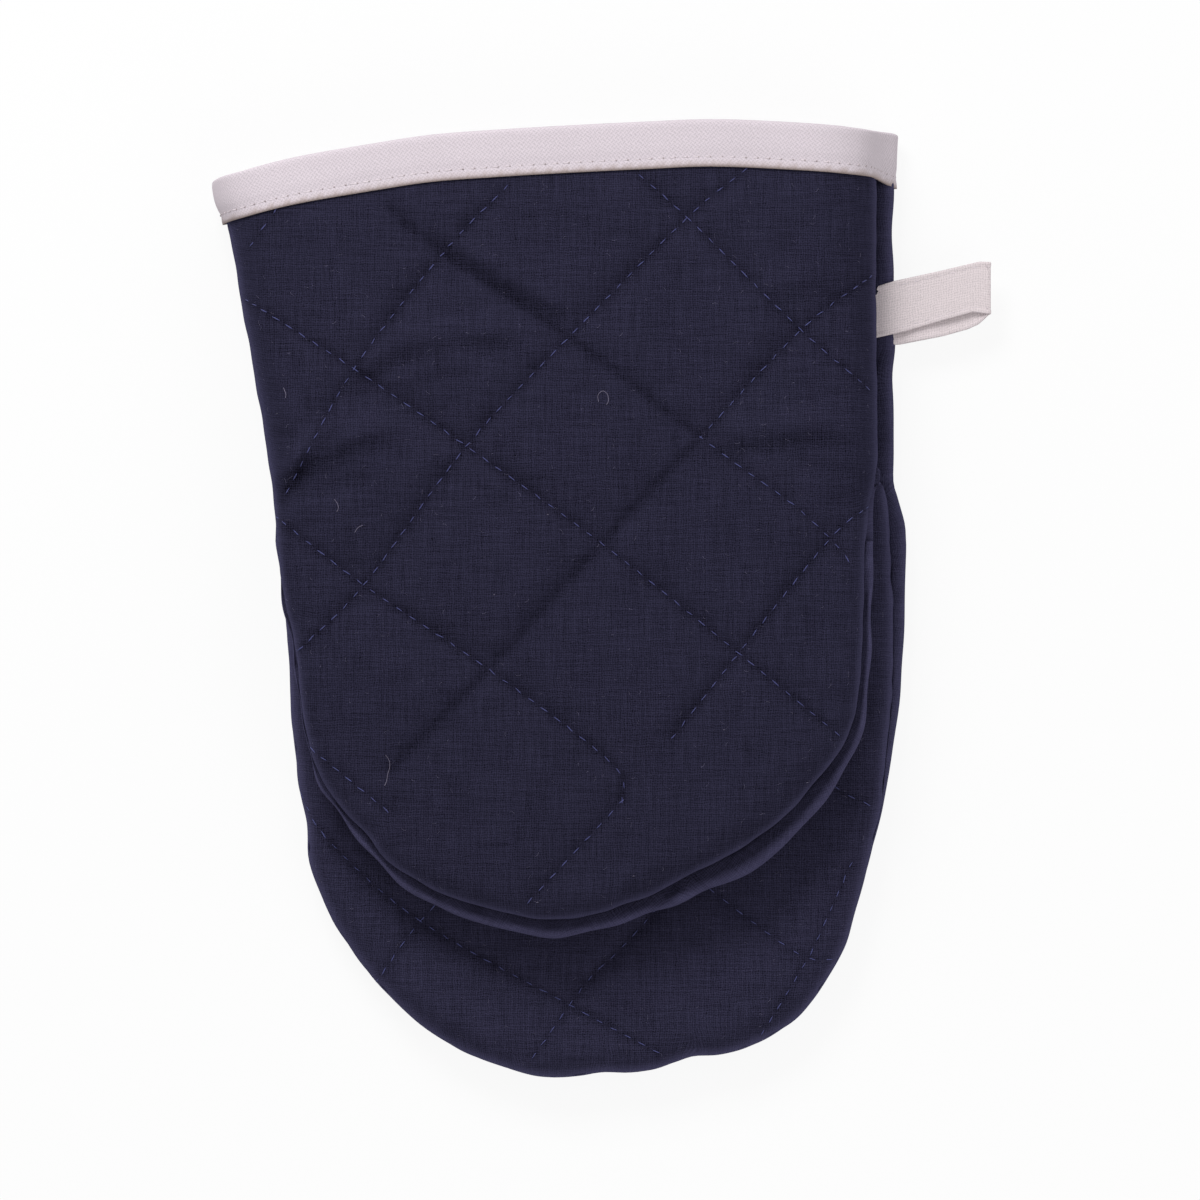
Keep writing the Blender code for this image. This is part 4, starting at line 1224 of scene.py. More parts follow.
@dataclass
class Mitt:
    """The quilted panels of the mitt."""

    navy: bpy.types.Material
    lining: bpy.types.Material
    fold_steps: int = 14
    end_depth: float = 15.0
    lining_inset: float = 4.2

    def finish(
        self, name: str, panel: Panel, shell: Shell, navy: bpy.types.Material | None = None
    ) -> bpy.types.Object:
        """Closes a shell and makes its object.

        Args:
            name: The piece's name.
            panel: The panel whose quilted channels and wrinkle valleys get painted shade.
            shell: The outer face.
            navy: The outer cloth, where it isn't the front's.

        Returns:
            The object.
        """
        points, faces, cloth, outer = close_shell(shell, panel.thickness)
        near, edge = np.zeros(len(points)), np.zeros(len(points))
        plan = shell.points[:, :2]
        # The channel mark is painted shade: darker along the quilted channels and in the wrinkles' valleys,
        # lighter on their ridges.
        near[: len(plan)] = panel.quilting.nearness(plan)
        near[: len(plan)] += sum(wrinkle.shade(plan) for wrinkle in panel.wrinkles)
        edge[: len(plan)] = shell.edge
        materials = [navy or self.navy, self.lining]
        obj = make_object(name, points, faces, materials, cloth, outer, {"channel": near, "edge": edge})
        LOG.info("%s: %d faces", name, len(faces))
        return obj

    def front(self) -> Panel:
        """The front panel, from the mouth of the cuff over the hinge crease to the thumb's tip."""
        return Panel(
            outline=FRONT_SEAM,
            top=mouth_y,
            up=1,
            level=lambda y: FRONT_LEVEL + (MOUTH_LEVEL - FRONT_LEVEL) * cuff_share(y),
            rim=lambda y: FINGER_RIM + (FRONT_RIM - FINGER_RIM) * split_share(y),
            reach=lambda y: 7.6 + 1.4 * (1 - split_share(y)) + 15.0 * cuff_share(y),
            quilting=Quilting(FRONT_CHANNELS),
            ripples=Ripples(3),
            corners=(0.41, 0.615),
            columns=180,
            rows=185,
            lip=lambda y: 3.0 + 0.8 * split_share(y),
            edge_reach=1.2,
            wrinkles=FRONT_WRINKLES,
            first=BINDING_ROWS,
            quilt_top=lambda x: mouth_y(x) - QUILT_BELOW_MOUTH,
            roll=7.6,
        )

    def back(self) -> Panel:
        """The back panel, from the mouth of the cuff to the finger tip."""
        return Panel(
            outline=BACK_OUTLINE,
            top=mouth_y,
            up=-1,
            level=constant(BACK_LEVEL),
            rim=constant(BACK_RIM),
            reach=constant(6.2),
            quilting=Quilting(self.back_channels(), puff=1.2),
            ripples=Ripples(5, height=0.15),
            corners=(0.37, 0.655),
            columns=90,
            rows=110,
            roll=6.2,
            crown=0.0,
            first=BINDING_ROWS,
            quilt_top=lambda x: mouth_y(x) - QUILT_BELOW_MOUTH,
            meets=self.back_seam(),
            edge_reach=2.0,
        )

    @staticmethod
    def back_channels() -> tuple[Channel, ...]:
        """The back's quilting, which runs in straight lines from edge to edge."""
        return diamond_channels(BACK_OUTLINE, 100.0, 4.0)

    @staticmethod
    def back_seam() -> Route:
        """Where the upper panels are sewn to the back, up one side of the cuff and down the other."""
        front, finger = np.array(FRONT_SEAM), np.array(FINGER_PALM_OUTLINE)
        left = front[(front[:, 0] < 0) & (front[:, 1] > 26)]
        right = front[(front[:, 0] > 0) & (front[:, 1] > 36)]
        start, crotch, end = [(-98.6, 112.0)], [(72.4, 25.5), (70.2, 31.0)], [(71.0, 124.0)]
        return Route(np.vstack([start, left, finger, crotch, right, end]))

    def finger_palm(self) -> Panel:
        """The finger pocket's upper panel, up to where it folds into the thumb's palm."""
        return Panel(
            outline=FINGER_PALM_OUTLINE,
            top=constant(FOLD_START),
            cut_at=FOLD_START,
            up=1,
            level=constant(FINGER_PALM),
            rim=constant(FINGER_RIM),
            reach=constant(7.4),
            quilting=Quilting(FINGER_CHANNELS),
            ripples=Ripples(7),
            corners=(0.33, 0.66),
            columns=110,
            rows=90,
            roll=7.4,
            crown=0.0,
        )

    def thumb_palm(self) -> Panel:
        """The thumb pocket's lower panel, from the fold to the thumb's tip."""
        return Panel(
            outline=THUMB_OUTLINE,
            top=constant(FOLD_START),
            cut_at=FOLD_START,
            up=-1,
            level=constant(THUMB_PALM),
            rim=constant(THUMB_RIM),
            reach=constant(6.2),
            quilting=Quilting(FINGER_CHANNELS[2:3], puff=0.8),
            ripples=Ripples(9, height=0.1),
            corners=(0.33, 0.66),
            columns=110,
            rows=70,
            roll=6.2,
            crown=0.0,
            meets=Route(curve_through(FRONT_SEAM)),
            edge_reach=2.0,
            waver=0.3,
            groove=1.7,
        )

    def palm(self) -> Shell:
        """The whole palm: finger palm, the fold at the crotch, and thumb palm, as one shell.

        Returns:
            The joined shell.
        """
        finger, thumb = self.finger_palm(), self.thumb_palm()
        low, high = finger.shell(), thumb.shell()
        start = len(low.points)
        row_a = finger.top_row
        extra = len(thumb.top_row) - len(row_a)
        row_b = np.array(thumb.top_row[extra // 2 : len(thumb.top_row) - extra // 2]) + start
        points = np.vstack([low.points, high.points])
        cloth = np.vstack([low.cloth, high.cloth + np.array([0, 60.0])])
        ends_a, ends_b = points[row_a], points[row_b]
        rim = np.minimum(np.arange(len(row_a)), np.arange(len(row_a))[::-1]) / 10
        depth = self.end_depth + (CROTCH_Y - FOLD_START - self.end_depth) * smoothstep(rim)
        ends = 1 - smoothstep(rim)
        side = np.where(np.arange(len(row_a)) < len(row_a) / 2, 1.0, -1.0)
        made, rows = [], [row_a]
        steps = self.fold_steps
        for k in range(1, steps):
            turn = math.pi * k / steps
            share = (1 - math.cos(turn)) / 2
            row = ends_a + (ends_b - ends_a) * share
            row[:, 1] = FOLD_START + depth * math.sin(turn) ** 0.8
            row[:, 0] += side * ends * 0.6 * math.sin(turn)
            rows.append(np.arange(len(row_a)) + len(points) + (k - 1) * len(row_a))
            made.append(row)
        rows.append(row_b)
        before, place, places = ends_a, low.cloth[row_a], []
        for row in made:
            run = np.linalg.norm(row - before, axis=1)
            place = place + np.column_stack([np.zeros(len(run)), run])
            places.append(place)
            before = row
        cloth = np.vstack([cloth, *places])
        plain_shift = len(low.plain)
        faces = list(low.faces) + [tuple(int(k) + start for k in f) for f in high.faces]
        for a, b in zip(rows, rows[1:]):
            faces += [(a[k], a[k + 1], b[k + 1], b[k]) for k in range(len(a) - 1)]
        shell = Shell(np.vstack([points, *made]), faces, cloth)
        drawn_in = np.column_stack([self.lining_inset * side * ends, 0 * side, 0 * side])
        shell.plain = np.vstack([low.plain, high.plain, *(row + drawn_in for row in made)])
        edge_a, edge_b = low.edge[row_a], high.edge[row_b - start]
        marks = [edge_a + (edge_b - edge_a) * k / steps for k in range(1, steps)]
        shell.edge = np.concatenate([low.edge, high.edge, *marks])
        alias = dict(low.lining)
        alias.update({k + start: v + plain_shift for k, v in high.lining.items()})
        first = plain_shift + len(high.plain)
        for number in range(len(made) * len(row_a)):
            alias[len(points) + number] = first + number
        shell.lining = alias
        return shell


def edge_lines(name: str, lines: Sequence[np.ndarray]) -> bpy.types.Object:
    """Makes an object of bare edges along lines in space.

    Args:
        name: The object's name.
        lines: Each line's points, in millimetres.

    Returns:
        The object.
    """
    mesh = bpy.data.meshes.new(name)
    edges, start = [], 0
    for line in lines:
        edges += [(start + k, start + k + 1) for k in range(len(line) - 1)]
        start += len(line)
    mesh.from_pydata((np.vstack(lines) * MM).tolist(), edges, [])
    obj = bpy.data.objects.new(name, mesh)
    bpy.context.scene.collection.objects.link(obj)
    return obj


class Repeats:
    """Geometry node trees for what repeats along a line or over a surface."""

    @staticmethod
    def start(name: str, sizes: dict[str, float]) -> tuple[NodeGraph, bpy.types.Node]:
        """Begins a tree with its named inputs.

        Args:
            name: The tree's name.
            sizes: Its number inputs and their first values.

        Returns:
            The tree's graph and its input node.
        """
        tree = bpy.data.node_groups.new(name, "GeometryNodeTree")
        face = tree.interface
        face.new_socket("Geometry", in_out="INPUT", socket_type="NodeSocketGeometry")
        for key, value in sizes.items():
            face.new_socket(key, in_out="INPUT", socket_type="NodeSocketFloat").default_value = value
        face.new_socket("Seed", in_out="INPUT", socket_type="NodeSocketInt")
        face.new_socket("Material", in_out="INPUT", socket_type="NodeSocketMaterial")
        face.new_socket("Geometry", in_out="OUTPUT", socket_type="NodeSocketGeometry")
        graph = NodeGraph(tree)
        return graph, graph.add("NodeGroupInput")

    @staticmethod
    def end(graph: NodeGraph, source: bpy.types.Node, made: bpy.types.NodeSocket) -> bpy.types.NodeTree:
        """Ends a tree: real geometry, smooth, with its material.

        Args:
            graph: The tree's graph.
            source: Its input node.
            made: The geometry so far.

        Returns:
            The finished tree.
        """
        real = graph.add("GeometryNodeRealizeInstances", {0: made})
        smooth = graph.add("GeometryNodeSetShadeSmooth", {0: real.outputs[0]})
        dressed = graph.add(
            "GeometryNodeSetMaterial", {0: smooth.outputs[0]}, Material=source.outputs["Material"]
        )
        graph.add("NodeGroupOutput", {0: dressed.outputs[0]})
        return graph.tree

    @classmethod
    def stitches(cls) -> bpy.types.NodeTree:
        """A run of stitches along each line: long beads, a little uneven.

        Returns:
            The tree.
        """
        known = bpy.data.node_groups.get("stitch_run")
        if known:
            return known
        graph, source = cls.start(
            "stitch_run", {"Pitch": 0.004, "Length": 0.0026, "Width": 0.0004, "Uneven": 0.15}
        )
        given = source.outputs
        curve = graph.add("GeometryNodeMeshToCurve", Mesh=given["Geometry"])
        spaced = graph.add(
            "GeometryNodeResampleCurve", mode="LENGTH", Curve=curve.outputs[0], Length=given["Pitch"]
        )
        bead = graph.add("GeometryNodeMeshUVSphere", Segments=6, Rings=5, Radius=0.5)
        size = graph.add("ShaderNodeCombineXYZ", X=given["Length"], Y=given["Width"], Z=given["Width"])
        shape = graph.add("GeometryNodeTransform", Geometry=bead.outputs["Mesh"], Scale=size.outputs[0])
        stray = graph.add(
            "FunctionNodeRandomValue", {0: (-1, -1, -0.4), 1: (1, 1, 0.4)},
            data_type="FLOAT_VECTOR", Seed=given["Seed"],
        )
        drift = graph.add(
            "ShaderNodeVectorMath", {0: stray.outputs[0]}, operation="SCALE", Scale=given["Uneven"]
        )
        tangent = graph.add("GeometryNodeInputTangent")
        aim = graph.add("ShaderNodeVectorMath", {0: tangent.outputs[0], 1: drift.outputs[0]}, operation="ADD")
        turn = graph.add("FunctionNodeAlignRotationToVector", axis="X", Vector=aim.outputs[0])
        long = graph.add("FunctionNodeRandomValue", {2: 0.8, 3: 1.12}, data_type="FLOAT", Seed=given["Seed"])
        placed = graph.add(
            "GeometryNodeInstanceOnPoints", Points=spaced.outputs[0], Instance=shape.outputs[0],
            Rotation=turn.outputs[0], Scale=long.outputs[1],
        )
        return cls.end(graph, source, placed.outputs[0])

    @classmethod
    def fibres(cls) -> bpy.types.NodeTree:
        """Short bent fibres scattered over a surface.

        Returns:
            The tree.
        """
        known = bpy.data.node_groups.get("loose_fibres")
        if known:
            return known
        graph, source = cls.start("loose_fibres", {"Density": 20000.0, "Length": 0.0014, "Width": 0.00005})
        given = source.outputs
        spread = graph.add(
            "GeometryNodeDistributePointsOnFaces",
            Mesh=given["Geometry"], Density=given["Density"], Seed=given["Seed"],
        )
        bow = graph.add(
            "GeometryNodeCurveQuadraticBezier", Resolution=4,
            Start=(-0.5, 0, 0.0), Middle=(0.0, 0.45, 0.25), End=(0.5, 0.1, 0.02),
        )
        size = graph.add("ShaderNodeCombineXYZ", **{axis: given["Length"] for axis in "XYZ"})
        grown = graph.add("GeometryNodeTransform", Geometry=bow.outputs[0], Scale=size.outputs[0])
        section = graph.add("GeometryNodeCurvePrimitiveCircle", Resolution=3, Radius=given["Width"])
        solid = graph.add(
            "GeometryNodeCurveToMesh", Curve=grown.outputs[0], Profile_Curve=section.outputs[0]
        )
        spin = graph.add(
            "FunctionNodeRandomValue", {2: 0.0, 3: math.tau}, data_type="FLOAT", Seed=given["Seed"]
        )
        about = graph.add("FunctionNodeAxisAngleToRotation", Axis=(0, 0, 1), Angle=spin.outputs[1])
        turned = graph.add(
            "FunctionNodeRotateRotation", rotation_space="LOCAL",
            Rotation=spread.outputs["Rotation"], Rotate_By=about.outputs[0],
        )
        long = graph.add(
            "FunctionNodeRandomValue", {0: (0.15, 0.05, 0.1), 1: (1.25, 0.9, 0.9)},
            data_type="FLOAT_VECTOR", Seed=given["Seed"],
        )
        placed = graph.add(
            "GeometryNodeInstanceOnPoints", Points=spread.outputs["Points"], Instance=solid.outputs[0],
            Rotation=turned.outputs[0], Scale=long.outputs[0],
        )
        return cls.end(graph, source, placed.outputs[0])

    @classmethod
    def strands(cls) -> bpy.types.NodeTree:
        """A round strand along each line.

        Returns:
            The tree.
        """
        known = bpy.data.node_groups.get("loose_strand")
        if known:
            return known
        graph, source = cls.start("loose_strand", {"Width": 0.0002})
        curve = graph.add("GeometryNodeMeshToCurve", Mesh=source.outputs["Geometry"])
        section = graph.add("GeometryNodeCurvePrimitiveCircle", Resolution=5, Radius=source.outputs["Width"])
        solid = graph.add(
            "GeometryNodeCurveToMesh", Fill_Caps=True,
            Curve=curve.outputs[0], Profile_Curve=section.outputs[0],
        )
        return cls.end(graph, source, solid.outputs[0])

    @staticmethod
    def apply(
        source: bpy.types.Object, tree: bpy.types.NodeTree, name: str, material: bpy.types.Material,
        **sizes: float,
    ) -> bpy.types.Object:
        """Runs a tree on an object and keeps the result as a plain mesh.

        Args:
            source: The object with the lines or the surface. It is removed.
            tree: The tree.
            name: The finished piece's name.
            material: Its material.
            **sizes: The tree's inputs by name.

        Returns:
            The finished piece.
        """
        modifier = source.modifiers.new("repeats", "NODES")
        modifier.node_group = tree
        for item in tree.interface.items_tree:
            if item.in_out != "INPUT" or item.name == "Geometry":
                continue
            given = material if item.name == "Material" else sizes.get(item.name, item.default_value)
            modifier[item.identifier] = given
        graph = bpy.context.evaluated_depsgraph_get()
        mesh = bpy.data.meshes.new_from_object(source.evaluated_get(graph), depsgraph=graph)
        made = bpy.data.objects.new(name, mesh)
        bpy.context.scene.collection.objects.link(made)
        bpy.data.objects.remove(source)
        LOG.info("%s: %d faces", name, len(mesh.polygons))
        return made


@dataclass
class Sewing:
    """Thread sewn along a panel's channels."""

    material: bpy.types.Material
    pitch: float = 4.0
    length: float = 2.5
    width: float = 0.31
    lift: float = 0.1

    def lines_on(self, cloth: bpy.types.Object, channels: Sequence[Channel], up: int) -> list[np.ndarray]:
        """Lays the sewn channels on a cloth.

        Args:
            cloth: The panel's finished piece.
            channels: Its channels.
            up: 1 to lay them from above, -1 from below.

        Returns:
            One line in space a channel, in millimetres.
        """
        found = []
        for channel in channels:
            if channel.thread is not Thread.SEWN:
                continue
            route = Route(curve_through(channel.points))
            plan = route.at(np.linspace(0, 1, max(4, int(route.length / 1.2))))
            line = []
            for x, y in plan:
                hit, place, _, _ = cloth.ray_cast((x * MM, y * MM, up * 0.1), (0, 0, -up))
                if hit:
                    line.append((x, y, place.z / MM + up * self.lift))
            if len(line) > 3:
                found.append(np.array(line))
        return found

    def sew(self, name: str, lines: Sequence[np.ndarray], seed: int) -> bpy.types.Object:
        """Sews stitches along lines.

        Args:
            name: The finished piece's name.
            lines: The lines, in millimetres.
            seed: Seed of the stitches' unevenness.

        Returns:
            The finished piece.
        """
        return Repeats.apply(
            edge_lines(f"{name}_line", lines), Repeats.stitches(), name, self.material,
            Pitch=self.pitch * MM, Length=self.length * MM, Width=self.width * MM, Seed=seed,
        )


# Threads and specks that lie on the front, as paths in plan.
LOOSE_THREADS: tuple[Plan, ...] = (
    (
        (-0.5, 50.4), (-0.7, 51.7), (-0.3, 52.6), (0.6, 53.1), (1.6, 52.5), (2.0, 51.3), (1.9, 50.2),
        (1.5, 49.6),
    ),
    ((-67.6, 25.6), (-66.8, 24.4), (-66.6, 23.3), (-67.0, 22.4)),
    ((-54.6, -39.4), (-53.7, -40.9), (-53.6, -42.6), (-54.1, -44.3), (-54.4, -46.2), (-54.9, -47.2)),
    ((-62.4, 17.2), (-61.6, 18.4), (-60.4, 19.0)),
    ((-80.6, 54.0), (-80.0, 52.4), (-80.1, 51.3)),
)
SPECKS: tuple[tuple[float, float], ...] = (
    (-54.5, -53.4), (5.5, -51.1), (-13.4, 21.7), (-27.0, 1.3), (52.6, -46.5), (-16.0, -76.9),
    (-51.2, 56.6), (8.4, -70.2), (31.4, -33.0),
)


@dataclass
class Lint:
    """Loose fibres, threads and specks that cling to the cloth."""

    material: bpy.types.Material
    density: float = 36000.0
    length: float = 1.15
    width: float = 0.045
    lift: float = 0.1
    strand: float = 0.085

    def cling(self, name: str, shell: Shell, up: int, seed: int, below: float = 99.0) -> bpy.types.Object:
        """Scatters fibres over a panel's outer face.

        Args:
            name: The finished piece's name.
            shell: The panel's outer face.
            up: 1 for fibres on what faces up, -1 on what faces down.
            seed: Seed of their places.
            below: The height that they stay below, in millimetres.

        Returns:
            The finished piece.
        """
        normals = normals_of(shell.points, shell.faces)
        held = (normals[:, 2] * up > 0.3) & (shell.points[:, 2] < below)
        kept = [face for face in shell.faces if all(held[int(k)] for k in face)]
        source = make_object(f"{name}_ground", shell.points, kept, [self.material])
        return Repeats.apply(
            source, Repeats.fibres(), name, self.material,
            Density=self.density, Length=self.length * MM, Width=self.width * MM, Seed=seed,
        )

    def strew(self, name: str, cloth: bpy.types.Object) -> bpy.types.Object:
        """Lays the single threads and specks on a cloth.

        Args:
            name: The finished piece's name.
            cloth: The cloth under them.

        Returns:
            The finished piece.
        """
        paths = [curve_through(thread, 5) for thread in LOOSE_THREADS]
        paths += [np.array([(x - 0.22, y), (x, y + 0.1), (x + 0.2, y)]) for x, y in SPECKS]
        lines = []
        for path in paths:
            line = []
            for x, y in path:
                _, place, _, _ = cloth.ray_cast((x * MM, y * MM, 0.1), (0, 0, -1))
                line.append((x, y, place.z / MM + self.lift))
            lines.append(np.array(line))
        return Repeats.apply(
            edge_lines(f"{name}_line", lines), Repeats.strands(), name, self.material, Width=self.strand * MM
        )


@dataclass
class CuffBinding:
    """Tape folded over the edge of the cuff's mouth, all the way round."""

    front: Panel
    front_shell: Shell
    back: Panel
    back_shell: Shell
    panel_thickness: float = PANEL_THICKNESS
    tape: float = 0.6
    gap: float = 0.1
    tuck: float = 9.0
    dent: float = 0.28
    dent_at: float = 2.6
    row_pitch: float = 1.03

    def stations(self, panel: Panel, shell: Shell) -> tuple[np.ndarray, ...]:
        """Points and normals under the tape, from seam to seam and from the mouth down.

        Args:
            panel: The panel that carries the tape.
            shell: Its outer face.

        Returns:
            Outer points and normals, then the lining's, by row and station.
        """
        faces = [tidy([shell.lining[int(k)] for k in f]) for f in shell.faces]
        plain_normals = normals_of(shell.plain, [f for f in faces if len(f) > 2])
        rows = np.array(panel.columns_down)
        if panel.meets is not None:
            rows = rows[:, 2:-2]
        lining = np.vectorize(shell.lining.get)(rows)
        points, rim = shell.points[rows], shell.plain[lining]
        inner = rim - plain_normals[lining] * self.panel_thickness + 0.05 * (points - rim)
        found = (points, normals_of(shell.points, shell.faces)[rows], inner, plain_normals[lining])
        if panel.meets is None:
            above = points[0, :, 2] > self.tuck
            return tuple(values[:, above] for values in found)
        lower = 0.19 * (points[:1, :, 1] - points[..., 1]) * smoothstep((points[..., 0] - 70.0) / 4)
        points[..., 1] -= lower
        return found

    def profile(self, stations: tuple[np.ndarray, ...], off: float) -> np.ndarray:
        """The tape's section at every station, this far off the cloth and the lining.

        Args:
            stations: What stations() gives.
            off: The distance.

        Returns:
            Points by step along the section and by station.
        """
        points, normals, inner, inner_normals = stations
        out = points[0] - points[1]
        out /= np.linalg.norm(out, axis=1)[:, None]
        deep = len(points) - 1
        dip = [
            self.dent * math.exp(-(((deep - k) * self.row_pitch - self.dent_at) ** 2) / 1.2)
            for k in range(deep + 1)
        ]
        legs = [points[k] + normals[k] * (off - dip[k]) for k in range(deep, 0, -1)]
        middle, half = (points[0] + inner[0]) / 2, (points[0] - inner[0]) / 2
        grown = half * (1 + off / np.linalg.norm(half, axis=1))[:, None]
        for turn in np.linspace(0, math.pi, 9):
            legs.append(middle + grown * math.cos(turn) + out * (0.2 + off) * math.sin(turn))
        legs += [inner[k] - inner_normals[k] * off for k in range(1, deep + 1)]
        return np.array(legs)

    @staticmethod
    def eased(section: np.ndarray, turn: int) -> np.ndarray:
        """Eases the tape over the two side seams.

        Args:
            section: Its points, by step along the section and by station.
            turn: The station where the back's tape begins.

        Returns:
            The eased points.
        """
        count = section.shape[1]
        place = np.arange(count)
        near = np.minimum(np.abs(place - turn + 0.5), np.minimum(place, count - place))
        share = np.clip((7 - near) / 4, 0, 1)[None, :, None]
        for _ in range(14):
            mean = (np.roll(section, 1, axis=1) + 2 * section + np.roll(section, -1, axis=1)) / 4
            section = section + (mean - section) * share
        section[..., 0] -= 1.0 * smoothstep((-90.0 - section[..., 0]) / 7)
        section[..., 0] += 0.3 * smoothstep((section[..., 0] - 71.0) / 4)
        over = np.exp(-(((section[..., 0] - 70.9) / 2.2) ** 2)) * smoothstep((section[..., 2] - 17.0) / 6)
        section[..., 2] += 0.7 * over
        section[..., 0] += 0.5 * over
        return section

    def build(self, material: bpy.types.Material) -> bpy.types.Object:
        """Builds the tape as one closed loop.

        Args:
            material: The tape's material.

        Returns:
            The finished piece.
        """
        front = self.stations(self.front, self.front_shell)
        back = self.stations(self.back, self.back_shell)
        sections = []
        for off in (self.gap + self.tape, self.gap):
            halves = [self.profile(front, off), self.profile(back, off)[:, ::-1]]
            sections.append(np.concatenate(halves, axis=1))
        outer, inner = (self.eased(section, front[0].shape[1]) for section in sections)
        ring = np.concatenate([outer, inner[::-1]], axis=0)
        around, count = ring.shape[1], ring.shape[0]
        run, down = run_along(outer[4]), run_along(ring[:, around // 4])
        index = np.arange(count * around).reshape(count, around)
        faces = [
            (
                index[r, c], index[(r + 1) % count, c],
                index[(r + 1) % count, (c + 1) % around], index[r, (c + 1) % around],
            )
            for r in range(count)
            for c in range(around)
        ]
        cloth = np.array([(run[c], down[r]) for r in range(count) for c in range(around)])
        # The tape's lower border is tinted brownish: fully at its cut end, unevenly on the row above it.
        edge = np.zeros((count, around))
        edge[[0, -1]] = 1
        uneven_border = wavering(np.arange(around) * 1.0, np.random.default_rng(31), 1.5, 5.0)
        edge[1] = np.clip(0.35 + 0.25 * uneven_border, 0, 1)
        marks = {"edge": edge.ravel()}
        obj = make_object("cuff_binding", ring.reshape(-1, 3), faces, [material], cloth, marks=marks)
        seam = (outer[2] + outer[3]) / 2
        self.hem = np.vstack([seam, seam[:1]])
        LOG.info("cuff_binding: %d faces", len(faces))
        return obj


@dataclass
class HangingLoop:
    """A strip of tape folded in two and sewn into the side seam."""

    left: float = 69.0
    right: float = 99.55
    width: float = 14.0
    upper_top: Plan = ((69.0, 79.8), (75.5, 81.8), (87.0, 84.3), (97.0, 86.7), (99.8, 86.6))
    upper_foot: Plan = ((69.0, 66.8), (77.8, 68.7), (87.0, 71.4), (95.2, 73.7), (99.8, 73.2))
    lower_foot: Plan = ((69.0, 65.4), (76.5, 65.4), (87.8, 67.6), (94.2, 69.4), (96.8, 70.6), (99.8, 73.2))
    low: float = 7.85
    spread: float = 0.8
    tape: float = 1.1
    hem_from: float = 77.5

    def path(self) -> np.ndarray:
        """The tape's middle line in x and z, from its upper leg round to its lower."""
        high = self.low + self.tape + 0.3
        mid = (self.low + high) / 2
        run = self.right - self.left
        half = self.spread
        upper = (
            (0.0, high), (0.08, high + 0.1), (0.18, high + half * 0.2), (0.42, mid + half * 0.66),
            (0.66, mid + half * 0.95), (0.86, mid + half * 0.9), (0.965, mid + half * 0.5), (1.0, mid),
        )
        lower = (
            (0.965, mid - half * 0.5), (0.86, mid - half * 0.9), (0.66, mid - half * 0.95),
            (0.42, mid - half * 0.66), (0.18, self.low - half * 0.1), (0.08, self.low), (0.0, self.low),
        )
        return curve_through([(self.left + run * a, b) for a, b in (*upper, *lower)], 6)

    def edges(self, path: np.ndarray) -> tuple[np.ndarray, np.ndarray]:
        """The y of the tape's two edges along its path, where the lower leg lies askew.

        Args:
            path: The tape's middle line in x and z.

        Returns:
            The edge towards the finger tip, and the edge towards the mouth.
        """
        foot, top = (
            np.interp(path[:, 0], *np.array(table).T) for table in (self.upper_foot, self.upper_top)
        )
        under = np.interp(path[:, 0], *np.array(self.lower_foot).T)
        share = smoothstep((np.linspace(0, 1, len(path)) - 0.46) / 0.12)
        low_top = np.minimum(under + self.width, top)
        return foot + (under - foot) * share, top + (low_top - top) * share

    def build(self, material: bpy.types.Material) -> bpy.types.Object:
        """Builds the loop.

        Args:
            material: The tape's material.

        Returns:
            The finished piece.
        """
        path = self.path()
        run = np.gradient(path, axis=0)
        run /= np.linalg.norm(run, axis=1)[:, None]
        normal = np.column_stack([-run[:, 1], run[:, 0]])
        length = run_along(path)
        half_across = np.array([0.4, 0.74, 0.80, 0.86, 0.94, 0.985, 1])
        across = np.concatenate([-half_across[::-1], [0], half_across])
        thick = np.array([0.5, 0.85, 1.0, 1.0, 0.72, 0.8, 0.8, 0.8, 0.8, 0.8, 0.72, 1.0, 1.0, 0.85, 0.5])
        thick = thick * self.tape / 2
        points, cloth = [], []
        edges = self.edges(path)
        for side in (1, -1):
            for share, half in zip(across if side > 0 else across[::-1], thick):
                place = path + normal * (half * side)
                y = edges[0] + (edges[1] - edges[0]) * (share + 1) / 2
                points.append(np.column_stack([place[:, 0], y, place[:, 1]]))
                cloth.append(np.column_stack([length, np.full(len(length), share * self.width / 2)]))
        ring = np.array(points)
        count, long = ring.shape[:2]
        index = np.arange(count * long).reshape(count, long)
        faces = [
            (index[r, c], index[r, c + 1], index[(r + 1) % count, c + 1], index[(r + 1) % count, c])
            for r in range(count)
            for c in range(long - 1)
        ]
        half = count // 2
        for end, step in ((0, 1), (long - 1, -1)):
            for r in range(half - 1):
                rows = [r, r + 1, count - 2 - r, count - 1 - r]
                faces.append(tuple(index[rows, end])[::step])
        obj = make_object("hanging_loop_tape", ring.reshape(-1, 3), faces, [material], np.vstack(cloth))
        self.hems = [line[line[:, 0] > self.hem_from] for line in (ring[4], ring[10])]
        LOG.info("hanging_loop_tape: %d faces", len(faces))
        return obj


